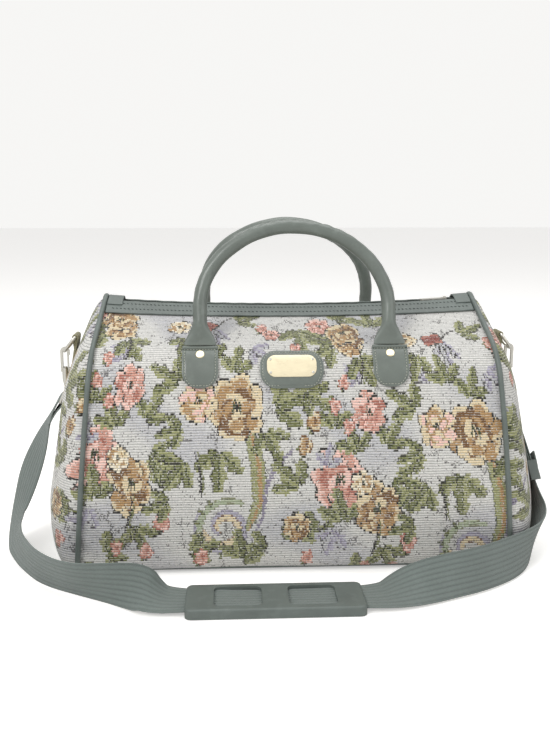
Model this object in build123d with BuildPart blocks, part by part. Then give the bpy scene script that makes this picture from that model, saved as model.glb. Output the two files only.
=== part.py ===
from build123d import *
from math import cos, degrees, radians, sin, tan
import os

# Tapestry carpet bag with a zip top, two rolled handles and a webbing shoulder strap.
# Millimetres. +Z is up, X runs along the bag, the front faces -Y.
# The origin is on the floor, under the middle of the bag.

# Body
base_seam_length = 410.0
seam_lean = 4.9
base_flat_depth = 174.0
corner_radius = 20.0
corner_turn = 84.0
side_radius = 526.0
side_turn = 18.0
shoulder_radius = 50.0
shoulder_turn_end = 51.0
shoulder_turn_middle = 56.5
ridge_radius = 14.0
cloth_thickness = 2.0
base_seam_heading = 45.0
sewn_gap = 0.1

# Ends
end_bulge = 43.0
end_lean = 10.0
end_flat_inset = 46.0
piping_diameter = 5.0
flange_width = 6.0
flange_thickness = 1.6

# Base board
board_thickness = 3.0
board_margin = 12.0
soft_gap = 0.3

# Zip
facing_width = 22.0
facing_overlap = 6.0
facing_thickness = 1.8
lip_half_gap = 7.0
zip_end_setback = 18.2
tape_depth = 2.6
tape_width = 8.8
tape_thickness = 1.0
tooth_pitch = 3.0
tooth_width = 1.25
tooth_height = 2.4
tooth_reach = 0.9
rail_inner = 1.2
rail_outer = 2.8
slider_length = 12.0
slider_clearance = 0.3
slider_wall = 1.5
pull_length = 26.0
pull_width = 7.0
pull_thickness = 1.4
pull_pin_radius = 0.9
pull_eye_radius = 1.6
lug_radius = 2.0
lug_thickness = 2.0
patch_zip_gap = 1.1
patch_half_width = 16.0
patch_thickness = 1.6

# Handles
handle_diameter = 13.0
handle_wall = 1.9
handle_half_span = 88.0
handle_arch_height = 78.0
handle_side_turn = 48.0
handle_leg = 10.0
handle_lean = 16.6
flare_length = 26.0
flare_width = 30.0
flare_thickness = 3.8
flare_foot = 2.0
core_inset = 4.0
crease_heading = 141.4
hinge_lift = 3.2
crease_roll_radius = 1.7
tab_width = 33.0
tab_length = 38.0
tab_thickness = 2.2
tab_corner = 11.0
rivet_below_crease = 7.0
rivet_head_radius = 4.2
rivet_head_height = 1.4
rivet_shank_radius = 1.8
washer_thickness = 1.0
washer_gap = 0.35
hole_clearance = 0.05

# Badge
badge_width = 58.5
badge_length = 36.0
badge_top_heading = 138.0
badge_thickness = 1.8
badge_centre_x = -4.0
plate_width = 45.5
plate_length = 20.0
plate_heading = 120.0
plate_corner = 8.0
plate_thickness = 1.2
pin_spread_x = 39.0
pin_spread_turn = 14.0
pin_head_radius = 1.3
pin_head_height = 0.7
pin_shank_radius = 0.6

# Strap ends
ring_bar_height = 212.0
ring_standoff = 3.2
ring_wire_radius = 1.6
ring_half_width = 13.0
ring_depth = 19.5
ring_hang = 39.0
ring_corner = 2.2
ring_tab_width = 21.0
ring_tab_thickness = 1.3
ring_tab_drop = 46.0
ring_tab_clearance = 0.08
hook_inner_width = 4.2
bow_clearance = 0.25
hook_thickness = 4.0
hook_wire = 2.4
hook_slot = 19.0
hook_neck = 4.0
gate_thickness = 1.6
gate_depth = 2.2
gate_pivot_radius = 0.6
knuckle_radius = 1.2
bow_tip_drop = 4.0
loop_wire_radius = 1.6
loop_inner_width = 41.0
loop_inner_height = 8.5
swivel_radius = 3.6
bulb_height = 17.0
swivel_post_radius = 1.1
rivet_cap = 1.2
pivot_clearance = 0.06
loop_corner = 2.5
loop_lean_left = 24.0
loop_lean_right = 8.0
loop_turn_left = 5.0

# Strap
strap_width = 40.0
strap_thickness = 1.8
wrap_clearance = 0.25
tail_length = 26.0
station_spacing = 12.0
slide_bar_radius = 1.4
slide_length = 20.0
slide_side = 2.6
slide_side_clearance = 0.4
slide_share = 0.475
tail_start = 14.0
loop_run = 18.0
fillet_share = 0.45
widest_radius = 4000.0
longest_plain_run = 100.0
station_turn = 30.0
stations_per_loft = 15
strap_lay_height = 5.1

# Shoulder pad
pad_length = 156.0
pad_depth = 52.0
pad_height = 9.0
pad_centre = (-23.0, -171.0)
pad_corner = 6.0
pad_edge_radius = 2.0
pad_window_length = 42.0
pad_window_depth = 38.0
pad_centre_bar = 23.0
tunnel_clearance = 0.6

os.makedirs("parts", exist_ok=True)
pieces = {}

# Cross-section of the bag
# It is drawn for the half on the +Y side, as tangent arcs that start on the floor.
# A heading is the direction of the outline there, in degrees from the floor.

side_end = corner_turn + side_turn
end_heading = side_end + shoulder_turn_end
middle_heading = side_end + shoulder_turn_middle


def along(heading):
    return Vector(cos(radians(heading)), sin(radians(heading)))


def outward(heading):
    return Vector(sin(radians(heading)), -cos(radians(heading)))


corner_centre = Vector(base_flat_depth / 2, corner_radius)
side_centre = corner_centre + outward(corner_turn) * (corner_radius - side_radius)
shoulder_centre = side_centre + outward(side_end) * (side_radius - shoulder_radius)


def wall_point(heading, lift=0.0):
    """A point of the outline, lifted off the cloth's outer face."""
    if heading <= corner_turn:
        return corner_centre + outward(heading) * (corner_radius + lift)
    if heading <= side_end:
        return side_centre + outward(heading) * (side_radius + lift)
    return shoulder_centre + outward(heading) * (shoulder_radius + lift)


def slope_length(heading):
    """Length of the straight slope from the shoulder to the lip beside the zip."""
    return (wall_point(heading).X - lip_half_gap) / -cos(radians(heading))


def lip_height(heading):
    return (wall_point(heading) + along(heading) * slope_length(heading)).Y


def draw_trace(start, heading, spans, lift):
    """Draw one face line of a wall. A span is (radius, turn), or (length, 0) when straight."""
    direction = along(heading)
    here = start + outward(heading) * lift
    first = here
    for size, turn in spans:
        if turn:
            span = JernArc(start=here, tangent=direction, radius=size + lift, arc_size=turn)
        else:
            span = Line(here, here + direction * size)
        here = span @ 1
        direction = span % 1
    return first, here


def draw_wall(start, heading, spans, lift, thickness):
    """Draw the closed section of a wall whose outer face is lifted off the outline."""
    outer_start, outer_end = draw_trace(start, heading, spans, lift)
    inner_start, inner_end = draw_trace(start, heading, spans, lift - thickness)
    Line(outer_start, inner_start)
    Line(outer_end, inner_end)


def end_plane(side, shift=0.0, lean=seam_lean):
    """The leaning plane across one end of the bag. Its x is +Y and its y runs up the bag."""
    normal = (cos(radians(lean)), 0, side * sin(radians(lean)))
    return Plane(origin=(side * (base_seam_length / 2 + shift), 0, 0), x_dir=(0, 1, 0), z_dir=normal)


end_gap = flange_thickness / 2 + sewn_gap
wall_planes = [
    (end_plane(-1, -end_gap), end_heading),
    (Plane.YZ, middle_heading),
    (end_plane(1, -end_gap), end_heading),
]

# Front, back and base panels

with BuildPart() as back_panel:
    for plane, heading in wall_planes:
        with BuildSketch(plane):
            with BuildLine():
                panel_slope = slope_length(heading) - facing_width + facing_overlap
                spans = [
                    (corner_radius, corner_turn - base_seam_heading),
                    (side_radius, side_turn),
                    (shoulder_radius, heading - side_end),
                    (panel_slope, 0),
                ]
                draw_wall(wall_point(base_seam_heading), base_seam_heading, spans, 0, cloth_thickness)
            make_face()
    loft()
pieces["back_panel"] = back_panel

with BuildPart() as front_panel:
    mirror(back_panel.part, about=Plane.XZ)
pieces["front_panel"] = front_panel

with BuildPart() as base_panel:
    for plane, heading in wall_planes[:: 2]:
        with BuildSketch(plane):
            with BuildLine():
                spans = [
                    (corner_radius, base_seam_heading),
                    (base_flat_depth, 0),
                    (corner_radius, base_seam_heading),
                ]
                mirrored_start = wall_point(base_seam_heading)
                start = Vector(-mirrored_start.X, mirrored_start.Y)
                draw_wall(start, -base_seam_heading, spans, 0, cloth_thickness)
            make_face()
    loft(ruled=True)
pieces["base_panel"] = base_panel

board_length = base_seam_length - 2 * board_margin
with BuildPart() as base_board:
    with BuildSketch(Plane.XY.offset(cloth_thickness + soft_gap)):
        RectangleRounded(board_length, base_flat_depth, corner_radius / 2)
    extrude(amount=board_thickness)
pieces["base_board"] = base_board

# Piping, a bead with a sewn flange, once round each end
# Its bead stands outside the cloth, and turns in under the base so that it rests on the floor.

bead_radius = piping_diameter / 2
bead_lift = bead_radius + sewn_gap


def ridge_slope_length():
    """Length of the straight slope at the ends, up to the rounded ridge."""
    slope = wall_point(end_heading).X / -cos(radians(end_heading))
    return slope - ridge_radius * tan(radians(180 - end_heading))


upper_spans = [
    (side_radius, side_turn),
    (shoulder_radius, shoulder_turn_end),
    (ridge_slope_length(), 0),
    (ridge_radius, 180 - end_heading),
]


def draw_piping_path():
    side_start = wall_point(corner_turn, bead_lift)
    turn_radius = (side_start.Y - bead_lift) / (1 - cos(radians(corner_turn)))
    flat = side_start.X - turn_radius * sin(radians(corner_turn))
    draw_trace(Vector(0, bead_lift), 0, [(flat, 0)], 0)
    draw_trace(Vector(flat, bead_lift), 0, [(turn_radius, corner_turn)], 0)
    draw_trace(wall_point(corner_turn), corner_turn, upper_spans, bead_lift)
    mirror(about=Plane.YZ)


with BuildLine() as piping_outline:
    draw_piping_path()
piping_path = end_plane(1).from_local_coords(piping_outline.wire())
bead_plane = Plane(origin=piping_path @ 0, x_dir=end_plane(1).z_dir, z_dir=piping_path % 0)

with BuildPart() as piping_seat:
    with BuildSketch(bead_plane):
        Circle(bead_radius + sewn_gap)
    sweep(path=piping_path)

with BuildPart() as piping_right:
    with BuildSketch(bead_plane):
        Circle(bead_radius)
        with Locations((0, -(bead_radius + flange_width) / 2)):
            Rectangle(flange_thickness, bead_radius + flange_width)
    sweep(path=piping_path)
pieces["piping_right"] = piping_right

# End panels, domed ends that close the bag outside the piping

end_centre_height = 141.0
end_sections = [(0.0, 0.0), (0.28, 3.0), (0.55, 11.0), (0.8, 26.0), (1.0, end_flat_inset)]
end_half_width = side_centre.X + side_radius

with BuildSketch() as end_outline:
    with BuildLine():
        bottom_spans = [(base_flat_depth / 2, 0), (corner_radius, corner_turn)]
        draw_trace(Vector(0, 0), 0, bottom_spans + upper_spans, 0)
        mirror(about=Plane.YZ)
    make_face()


def end_section(fraction, inset):
    """Place one section of the dome. The fraction runs from the seam to the flat cap."""
    lean = seam_lean + fraction * (end_lean - seam_lean)
    scaling = 1 - inset / end_half_width
    with BuildSketch(end_plane(1, end_gap + fraction * end_bulge, lean)) as section:
        with Locations((0, end_centre_height * (1 - scaling))):
            add(scale(end_outline.sketch, by=scaling, mode=Mode.PRIVATE))
    return section.sketch


with BuildPart() as end_dome:
    loft([end_section(fraction, inset) for fraction, inset in end_sections])

with BuildPart() as end_hollow:
    hollow_sections = []
    for fraction, inset in end_sections:
        inner_fraction = fraction - cloth_thickness / end_bulge * fraction - 0.01 * (1 - fraction)
        hollow_sections.append(end_section(inner_fraction, inset + cloth_thickness))
    loft(hollow_sections)

with BuildPart() as end_panel_right:
    add(end_dome.part)
    add(end_hollow.part, mode=Mode.SUBTRACT)
    add(piping_seat.part, mode=Mode.SUBTRACT)
pieces["end_panel_right"] = end_panel_right


def add_mirrored(name, twin, plane):
    """Add the mirror twin of a piece across a main plane."""
    with BuildPart() as piece:
        mirror(pieces[name].part, about=plane)
    pieces[twin] = piece


add_mirrored("end_panel_right", "end_panel_left", Plane.YZ)
add_mirrored("piping_right", "piping_left", Plane.YZ)

with BuildPart() as base_panel_seated:
    add(base_panel.part)
    add(piping_seat.part, mode=Mode.SUBTRACT)
    mirror(piping_seat.part, about=Plane.YZ, mode=Mode.SUBTRACT)
pieces["base_panel"] = base_panel_seated

# Zip, in a strip of its own along the sagging ridge

seam_lip = end_plane(1, -end_gap).from_local_coords((lip_half_gap, lip_height(end_heading), 0))
lip_middle = lip_height(middle_heading)
ridge_drop = seam_lip.Z - lip_middle
sag_radius = (seam_lip.X**2 + ridge_drop**2) / (2 * ridge_drop)
sag_axis = Axis((0, 0, lip_middle + sag_radius), (0, 1, 0))
zip_half_length = seam_lip.X - zip_end_setback
zip_half_angle = degrees(zip_half_length / sag_radius)


def turned_along_ridge(distance, shape):
    """Move a shape from the middle of the ridge to a distance along it towards +X."""
    return shape.rotate(sag_axis, -degrees(distance / sag_radius))


facing_setback = bead_radius + 2 * sewn_gap
facing_planes = [
    (end_plane(-1, -facing_setback), end_heading),
    (Plane.YZ, middle_heading),
    (end_plane(1, -facing_setback), end_heading),
]

with BuildPart() as zip_facing_back:
    for plane, heading in facing_planes:
        with BuildSketch(plane):
            with BuildLine():
                facing_start = wall_point(heading) + along(heading) * (slope_length(heading) - facing_width)
                facing_lift = sewn_gap + facing_thickness
                draw_wall(facing_start, heading, [(facing_width, 0)], facing_lift, facing_thickness)
            make_face()
    loft()
pieces["zip_facing_back"] = zip_facing_back

tape_top = lip_middle - tape_depth
tape_middle = tape_top - tape_thickness / 2
tooth_top = tape_middle + tooth_height / 2

with BuildPart() as zip_tape_back:
    with BuildSketch(Plane.YZ):
        with Locations((rail_outer + tape_width / 2, tape_middle)):
            Rectangle(tape_width - 2 * sewn_gap, tape_thickness)
    revolve(axis=sag_axis, revolution_arc=zip_half_angle)
    mirror(about=Plane.YZ)
pieces["zip_tape_back"] = zip_tape_back

tooth_count = 2 * int(zip_half_length / tooth_pitch) - 1
tooth_length = rail_inner + tooth_reach

with BuildPart() as zip_teeth_back:
    with BuildSketch(Plane.YZ):
        with Locations(((rail_outer - tooth_reach) / 2, tape_middle)):
            Rectangle(rail_outer + tooth_reach, tooth_height)
    revolve(axis=sag_axis, revolution_arc=zip_half_angle)
    mirror(about=Plane.YZ)
    with BuildSketch(Plane.XY.offset(lip_middle - 2 * tooth_height)):
        with Locations((0, (rail_inner + rail_outer) / 2)):
            Rectangle(2 * zip_half_length, rail_outer - rail_inner)
        with Locations((tooth_pitch / 4, tooth_length / 2 - tooth_reach + sewn_gap)):
            with GridLocations(tooth_pitch, 0, tooth_count, 1):
                Rectangle(tooth_width, tooth_length + 2 * sewn_gap)
    extrude(amount=ridge_drop + 4 * tooth_height, mode=Mode.INTERSECT)
pieces["zip_teeth_back"] = zip_teeth_back

# A half turn about the vertical puts the front row half a pitch along.
with BuildPart() as zip_teeth_front:
    add(zip_teeth_back.part.rotate(Axis.Z, 180))
pieces["zip_teeth_front"] = zip_teeth_front

roof_bottom = tooth_top + slider_clearance
roof_top = roof_bottom + slider_wall
cheek_inner = rail_outer + slider_clearance
cheek_outer = cheek_inner + slider_wall
pull_pivot_height = roof_top + pull_eye_radius + slider_clearance
slider_place = zip_half_length - slider_length / 2 - slider_clearance

# The slider is drawn at the middle of the ridge, then moved along it to the closed end.
with BuildPart() as slider_at_middle:
    with BuildSketch(Plane.YZ.offset(-slider_length / 2)):
        cheek_bottom = tape_top + slider_clearance
        with Locations((0, (cheek_bottom + roof_top) / 2)):
            Rectangle(2 * cheek_outer, roof_top - cheek_bottom)
        with Locations((0, (cheek_bottom + roof_bottom) / 2)):
            Rectangle(2 * cheek_inner, roof_bottom - cheek_bottom, mode=Mode.SUBTRACT)
    extrude(amount=slider_length)
    with BuildSketch(Plane.XZ.offset(-lug_thickness / 2)):
        with Locations((0, pull_pivot_height)):
            Circle(lug_radius)
        with Locations((0, (roof_top + pull_pivot_height) / 2)):
            Rectangle(2 * lug_radius, pull_pivot_height - roof_top)
        with Locations((0, pull_pivot_height)):
            Circle(pull_pin_radius + hole_clearance, mode=Mode.SUBTRACT)
    extrude(amount=lug_thickness)

with BuildPart() as zip_slider:
    add(turned_along_ridge(slider_place, slider_at_middle.part))
pieces["zip_slider"] = zip_slider

with BuildPart() as pull_at_middle:
    with BuildSketch(Plane.XY.offset(pull_pivot_height - pull_thickness / 2)):
        with Locations((-pull_length / 2, 0)):
            RectangleRounded(pull_length, pull_width, pull_width / 2 - slider_clearance)
        with Locations((-lug_radius / 2, 0)):
            window_length = 3 * lug_radius + 2 * slider_clearance
            Rectangle(window_length, lug_thickness + 2 * slider_clearance, mode=Mode.SUBTRACT)
    extrude(amount=pull_thickness)
    with BuildSketch(Plane.XZ.offset(-pull_width / 2 + slider_clearance)):
        with Locations((0, pull_pivot_height)):
            Circle(pull_eye_radius)
    extrude(amount=pull_width - 2 * slider_clearance)
    with BuildSketch(Plane.XZ.offset(-lug_thickness / 2 - slider_clearance)):
        with Locations((0, pull_pivot_height)):
            Circle(lug_radius + slider_clearance)
            Circle(pull_pin_radius, mode=Mode.SUBTRACT)
    extrude(amount=lug_thickness + 2 * slider_clearance, mode=Mode.SUBTRACT)

with BuildPart() as zip_pull:
    add(turned_along_ridge(slider_place, pull_at_middle.part))
pieces["zip_pull"] = zip_pull


def draw_ridge_fold(heading, lift, thickness):
    """Draw the closed section of a patch that is folded over the ridge."""
    reach = patch_half_width / -cos(radians(heading))
    flat = reach - ridge_radius * tan(radians(180 - heading))
    start = wall_point(heading) + along(heading) * (wall_point(heading).X / -cos(radians(heading)) - reach)
    spans = [(flat, 0), (ridge_radius, 2 * (180 - heading)), (flat, 0)]
    draw_wall(start, heading, spans, lift, thickness)


# Each patch reaches from the piping to just short of the last teeth.
patch_setbacks = (facing_setback + soft_gap, end_gap + zip_end_setback - patch_zip_gap)
with BuildPart() as zip_end_patch_right:
    for setback in patch_setbacks:
        patch_plane = end_plane(1, -setback)
        along_ridge = patch_plane.from_local_coords((0, lip_middle, 0)).X / seam_lip.X
        with BuildSketch(patch_plane):
            with BuildLine():
                heading = end_heading + (middle_heading - end_heading) * (1 - along_ridge**2)
                fold_lift = sewn_gap + facing_thickness + soft_gap + patch_thickness
                draw_ridge_fold(heading, fold_lift, patch_thickness)
            make_face()
    loft()
pieces["zip_end_patch_right"] = zip_end_patch_right

# Handles, rolled leather over a cord, each hinged along the crease above its two tabs

hinge_point = wall_point(crease_heading, hinge_lift)
hinge_centre = Vector(0, hinge_point.X, hinge_point.Y)
lean_sin = sin(radians(handle_lean))
lean_cos = cos(radians(handle_lean))
handle_plane = Plane(origin=hinge_centre, x_dir=(1, 0, 0), z_dir=(0, -lean_cos, -lean_sin))

# The arch has three centres: side arcs that turn in, and a flatter top arc between them.
side_cos = cos(radians(handle_side_turn))
side_sin = sin(radians(handle_side_turn))
arch_side_radius = (handle_arch_height * side_cos - handle_half_span * (1 - side_sin)) / (
    side_sin * side_cos - (1 - side_sin) * (1 - side_cos)
)
arch_top_radius = (handle_half_span - arch_side_radius * (1 - side_cos)) / side_cos
top_turn = 90 - handle_side_turn


def draw_handle_path(start_height):
    """Draw the middle line of a handle, up its left leg, over and down the right leg."""
    arch_start = flare_length + handle_leg
    foot = Vector(-handle_half_span, start_height)
    spans = [
        (arch_start - start_height, 0),
        (arch_side_radius, -handle_side_turn),
        (arch_top_radius, -2 * top_turn),
        (arch_side_radius, -handle_side_turn),
        (arch_start - start_height, 0),
    ]
    draw_trace(foot, 90, spans, 0)


def handle_tube(start_height, radius):
    """A round bar of the given radius along the middle line of the handle."""
    with BuildLine() as middle_line:
        draw_handle_path(start_height)
    path = handle_plane.from_local_coords(middle_line.wire())
    with BuildPart() as tube:
        with BuildSketch(Plane(origin=path @ 0, z_dir=path % 0)):
            Circle(radius)
        sweep(path=path)
    return tube.part


with BuildPart() as handle_back:
    for foot_x in (-handle_half_span, handle_half_span):
        foot_plane = Plane(
            origin=handle_plane.from_local_coords((foot_x, 0, 0)),
            x_dir=(1, 0, 0),
            z_dir=handle_plane.y_dir,
        )
        with BuildSketch(foot_plane.offset(flare_foot)):
            Ellipse(flare_width / 2, flare_thickness / 2)
        with BuildSketch(foot_plane.offset(flare_length / 2)):
            Ellipse(0.4 * flare_width, 0.55 * handle_diameter / 2 + flare_thickness / 4)
        with BuildSketch(foot_plane.offset(flare_length)):
            Circle(handle_diameter / 2)
        loft()
    add(handle_tube(flare_length, handle_diameter / 2))
    add(handle_tube(flare_length + core_inset, handle_diameter / 2 - handle_wall), mode=Mode.SUBTRACT)
pieces["handle_back"] = handle_back

with BuildPart() as handle_core_back:
    core_radius = handle_diameter / 2 - handle_wall - sewn_gap
    add(handle_tube(flare_length + core_inset + sewn_gap, core_radius))
pieces["handle_core_back"] = handle_core_back

# Tabs, one under each handle foot, rolled round a cord at the crease
tab_lift = sewn_gap + hole_clearance + tab_thickness
tab_shoulder_turn = crease_heading - side_end
tab_side_length = tab_length - radians(tab_shoulder_turn) * shoulder_radius
tab_foot_heading = side_end - degrees(tab_side_length / side_radius)
tab_foot = wall_point(tab_foot_heading)

with BuildPart() as tab_at_middle:
    with BuildSketch(Plane.YZ.offset(-tab_width / 2)):
        with BuildLine():
            spans = [(side_radius, side_end - tab_foot_heading), (shoulder_radius, tab_shoulder_turn)]
            draw_wall(tab_foot, tab_foot_heading, spans, tab_lift, tab_thickness)
        make_face()
        with Locations(hinge_point):
            Circle(crease_roll_radius)
    extrude(amount=tab_width)
    with BuildSketch(Plane.XZ):
        tongue_top = hinge_point.Y + crease_roll_radius + tab_corner
        with Locations((0, (tab_foot.Y + tongue_top) / 2)):
            RectangleRounded(tab_width, tongue_top - tab_foot.Y, tab_corner)
    extrude(amount=-2 * shoulder_radius - base_flat_depth, mode=Mode.INTERSECT)

rivet_heading = crease_heading - degrees(rivet_below_crease / shoulder_radius)


def wall_plane(x, heading, lift):
    """A plane on the back wall of the bag that faces outwards."""
    point = wall_point(heading, lift)
    facing = outward(heading)
    return Plane(origin=(x, point.X, point.Y), x_dir=(1, 0, 0), z_dir=(0, facing.X, facing.Y))


def wall_pin(x, heading, head_lift, head_radius, head_height, shank_radius):
    """A domed pin through the wall, with a washer on its inner end. Returns pin and hole."""
    seat_plane = wall_plane(x, heading, head_lift)
    shank_length = head_lift + cloth_thickness + washer_gap + washer_thickness
    with BuildPart() as pin:
        with BuildSketch(seat_plane):
            Circle(head_radius)
        extrude(amount=head_height)
        fillet(pin.faces().sort_by(Axis.Z)[-1].edges(), head_height * 0.7)
        with BuildSketch(seat_plane):
            Circle(shank_radius)
        extrude(amount=-shank_length)
        with BuildSketch(seat_plane.offset(-shank_length)):
            Circle(head_radius)
        extrude(amount=washer_thickness)
    with BuildPart() as hole:
        with BuildSketch(seat_plane):
            Circle(shank_radius + hole_clearance)
        extrude(amount=-shank_length - washer_thickness)
    return pin.part, hole.part


with BuildPart() as handle_rivets_back:
    rivet_parts = []
    for x in (-handle_half_span, handle_half_span):
        rivet, rivet_hole = wall_pin(
            x, rivet_heading, tab_lift + hole_clearance, rivet_head_radius, rivet_head_height, rivet_shank_radius
        )
        add(rivet)
        rivet_parts.append(rivet_hole)
pieces["handle_rivets_back"] = handle_rivets_back

for side_name, x in (("left", -handle_half_span), ("right", handle_half_span)):
    with BuildPart() as handle_tab_back:
        with Locations((x, 0, 0)):
            add(tab_at_middle.part)
        for rivet_hole in rivet_parts:
            add(rivet_hole, mode=Mode.SUBTRACT)
    pieces[f"handle_tab_back_{side_name}"] = handle_tab_back

with BuildPart() as back_panel_pierced:
    add(back_panel.part)
    add(piping_seat.part, mode=Mode.SUBTRACT)
    mirror(piping_seat.part, about=Plane.YZ, mode=Mode.SUBTRACT)
    for rivet_hole in rivet_parts:
        add(rivet_hole, mode=Mode.SUBTRACT)
pieces["back_panel"] = back_panel_pierced

# Badge, a soft patch with a plain curved plate held by four pins
# It is drawn on the back wall at x 0, then turned round to the front.
badge_shoulder_turn = badge_top_heading - side_end
badge_side_length = badge_length - radians(badge_shoulder_turn) * shoulder_radius
badge_foot_heading = side_end - degrees(badge_side_length / side_radius)
badge_foot = wall_point(badge_foot_heading)
badge_top = wall_point(badge_top_heading)
badge_lift = sewn_gap + badge_thickness
plate_lift = badge_lift + sewn_gap + plate_thickness
plate_half_turn = degrees(plate_length / 2 / shoulder_radius)

with BuildPart() as badge_holes:
    pin_parts = []
    for x in (-pin_spread_x / 2, pin_spread_x / 2):
        for heading in (plate_heading - pin_spread_turn / 2, plate_heading + pin_spread_turn / 2):
            pin, pin_hole = wall_pin(
                x, heading, plate_lift + hole_clearance, pin_head_radius, pin_head_height, pin_shank_radius
            )
            add(pin_hole)
            pin_parts.append(pin)

with BuildPart() as badge_patch_at_middle:
    with BuildSketch(Plane.YZ.offset(-badge_width / 2)):
        with BuildLine():
            spans = [(side_radius, side_end - badge_foot_heading), (shoulder_radius, badge_shoulder_turn)]
            draw_wall(badge_foot, badge_foot_heading, spans, badge_lift, badge_thickness)
        make_face()
    extrude(amount=badge_width)
    with BuildSketch(Plane.XZ):
        with Locations((0, (badge_foot.Y + badge_top.Y + badge_thickness) / 2)):
            badge_rise = badge_top.Y + badge_thickness - badge_foot.Y
            RectangleRounded(badge_width, badge_rise, 0.35 * badge_rise)
    extrude(amount=-2 * shoulder_radius - base_flat_depth, mode=Mode.INTERSECT)
    add(badge_holes.part, mode=Mode.SUBTRACT)

with BuildPart() as badge_plate_at_middle:
    with BuildSketch(Plane.YZ.offset(-plate_width / 2)):
        with BuildLine():
            plate_foot_heading = plate_heading - plate_half_turn
            plate_foot = wall_point(plate_foot_heading)
            spans = [(shoulder_radius, 2 * plate_half_turn)]
            draw_wall(plate_foot, plate_foot_heading, spans, plate_lift, plate_thickness)
        make_face()
    extrude(amount=plate_width)
    with BuildSketch(wall_plane(0, plate_heading, -shoulder_radius / 2)):
        RectangleRounded(plate_width, plate_length + plate_thickness, plate_corner)
    extrude(amount=shoulder_radius, mode=Mode.INTERSECT)
    add(badge_holes.part, mode=Mode.SUBTRACT)


def turned_to_front(shape):
    """Turn a shape on the back wall round the vertical to the badge's place on the front."""
    return Pos(badge_centre_x, 0, 0) * shape.rotate(Axis.Z, 180)


with BuildPart() as badge_patch:
    add(turned_to_front(badge_patch_at_middle.part))
pieces["badge_patch"] = badge_patch

with BuildPart() as badge_plate:
    add(turned_to_front(badge_plate_at_middle.part))
pieces["badge_plate"] = badge_plate

with BuildPart() as badge_pins:
    for pin in pin_parts:
        add(turned_to_front(pin))
pieces["badge_pins"] = badge_pins

add_mirrored("back_panel", "front_panel", Plane.XZ)
with BuildPart() as front_panel_pierced:
    add(pieces["front_panel"].part)
    add(turned_to_front(badge_holes.part), mode=Mode.SUBTRACT)
pieces["front_panel"] = front_panel_pierced

for stem in ("zip_facing", "zip_tape", "handle", "handle_core", "handle_rivets"):
    add_mirrored(f"{stem}_back", f"{stem}_front", Plane.XZ)
for side_name in ("left", "right"):
    add_mirrored(f"handle_tab_back_{side_name}", f"handle_tab_front_{side_name}", Plane.XZ)
add_mirrored("zip_end_patch_right", "zip_end_patch_left", Plane.YZ)

# Strap ends: a sewn tab with a ring, and a snap hook with a swivel loop hanging in the ring
# They are drawn on the right end, with the ring's bar along Y, and mirrored to the left.

cap_plane = end_plane(1, end_gap + end_bulge, end_lean)


def cap_point(height, lift):
    """A point in the mid-plane XZ, at a height up the flat cap and lifted off its face."""
    point = cap_plane.from_local_coords((0, height / cos(radians(end_lean)), lift))
    return Vector(point.X, point.Z)


bar_centre = cap_point(ring_bar_height, ring_standoff)
hang = Vector(sin(radians(ring_hang)), -cos(radians(ring_hang)))
bow_centre = bar_centre + hang * ring_depth
ring_plane = Plane(
    origin=(bar_centre.X, 0, bar_centre.Y),
    x_dir=(0, 1, 0),
    z_dir=(-hang.Y, 0, hang.X),
)

with BuildLine() as ring_line:
    straight = ring_depth - ring_half_width
    draw_trace(Vector(0, 0), 0, [(ring_half_width - ring_corner, 0), (ring_corner, -90)], 0)
    draw_trace(Vector(ring_half_width, -ring_corner), -90, [(straight - ring_corner, 0), (ring_half_width, -90)], 0)
    mirror(about=Plane.YZ)
ring_path = ring_plane.from_local_coords(ring_line.wire())
if (ring_path.center().X - bar_centre.X) < 0:
    raise ValueError("the ring hangs on the wrong side of its bar")

with BuildPart() as d_ring_right:
    with BuildSketch(Plane(origin=ring_path @ 0, z_dir=ring_path % 0)):
        Circle(ring_wire_radius)
    sweep(path=ring_path)
pieces["d_ring_right"] = d_ring_right

with BuildPart() as ring_tab_right:
    with BuildSketch(Plane.XZ.offset(-ring_tab_width / 2)):
        loop_radius = ring_wire_radius + ring_tab_clearance + ring_tab_thickness
        plate_top = ring_bar_height - 4 * ring_tab_thickness
        plate_bottom = ring_bar_height - ring_tab_drop
        near_lift = sewn_gap + hole_clearance
        far_lift = near_lift + 2 * ring_tab_thickness
        with BuildLine():
            Polyline(
                cap_point(plate_bottom, near_lift),
                cap_point(plate_top, near_lift),
                bar_centre - Vector(cap_plane.z_dir.X, cap_plane.z_dir.Z) * loop_radius,
                bar_centre + Vector(cap_plane.z_dir.X, cap_plane.z_dir.Z) * loop_radius,
                cap_point(plate_top - 2 * loop_radius, far_lift),
                cap_point(plate_bottom, far_lift),
                close=True,
            )
        make_face()
        with Locations(bar_centre):
            Circle(loop_radius)
            Circle(ring_wire_radius + ring_tab_clearance, mode=Mode.SUBTRACT)
    extrude(amount=ring_tab_width)
pieces["ring_tab_right"] = ring_tab_right

# Snap hook, with its gate towards the bag
slot_radius = hook_inner_width / 2
hook_centre = bow_centre + Vector(0, ring_wire_radius + bow_clearance - slot_radius)
slot_bottom = hook_centre.Y + slot_radius - hook_slot
hook_bottom = slot_bottom - hook_neck
knuckle_centre = Vector(hook_centre.X - slot_radius - gate_thickness / 2, slot_bottom - knuckle_radius)
gate_top = hook_centre.Y - bow_tip_drop - slider_clearance
hook_outer = slot_radius + hook_wire

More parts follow.
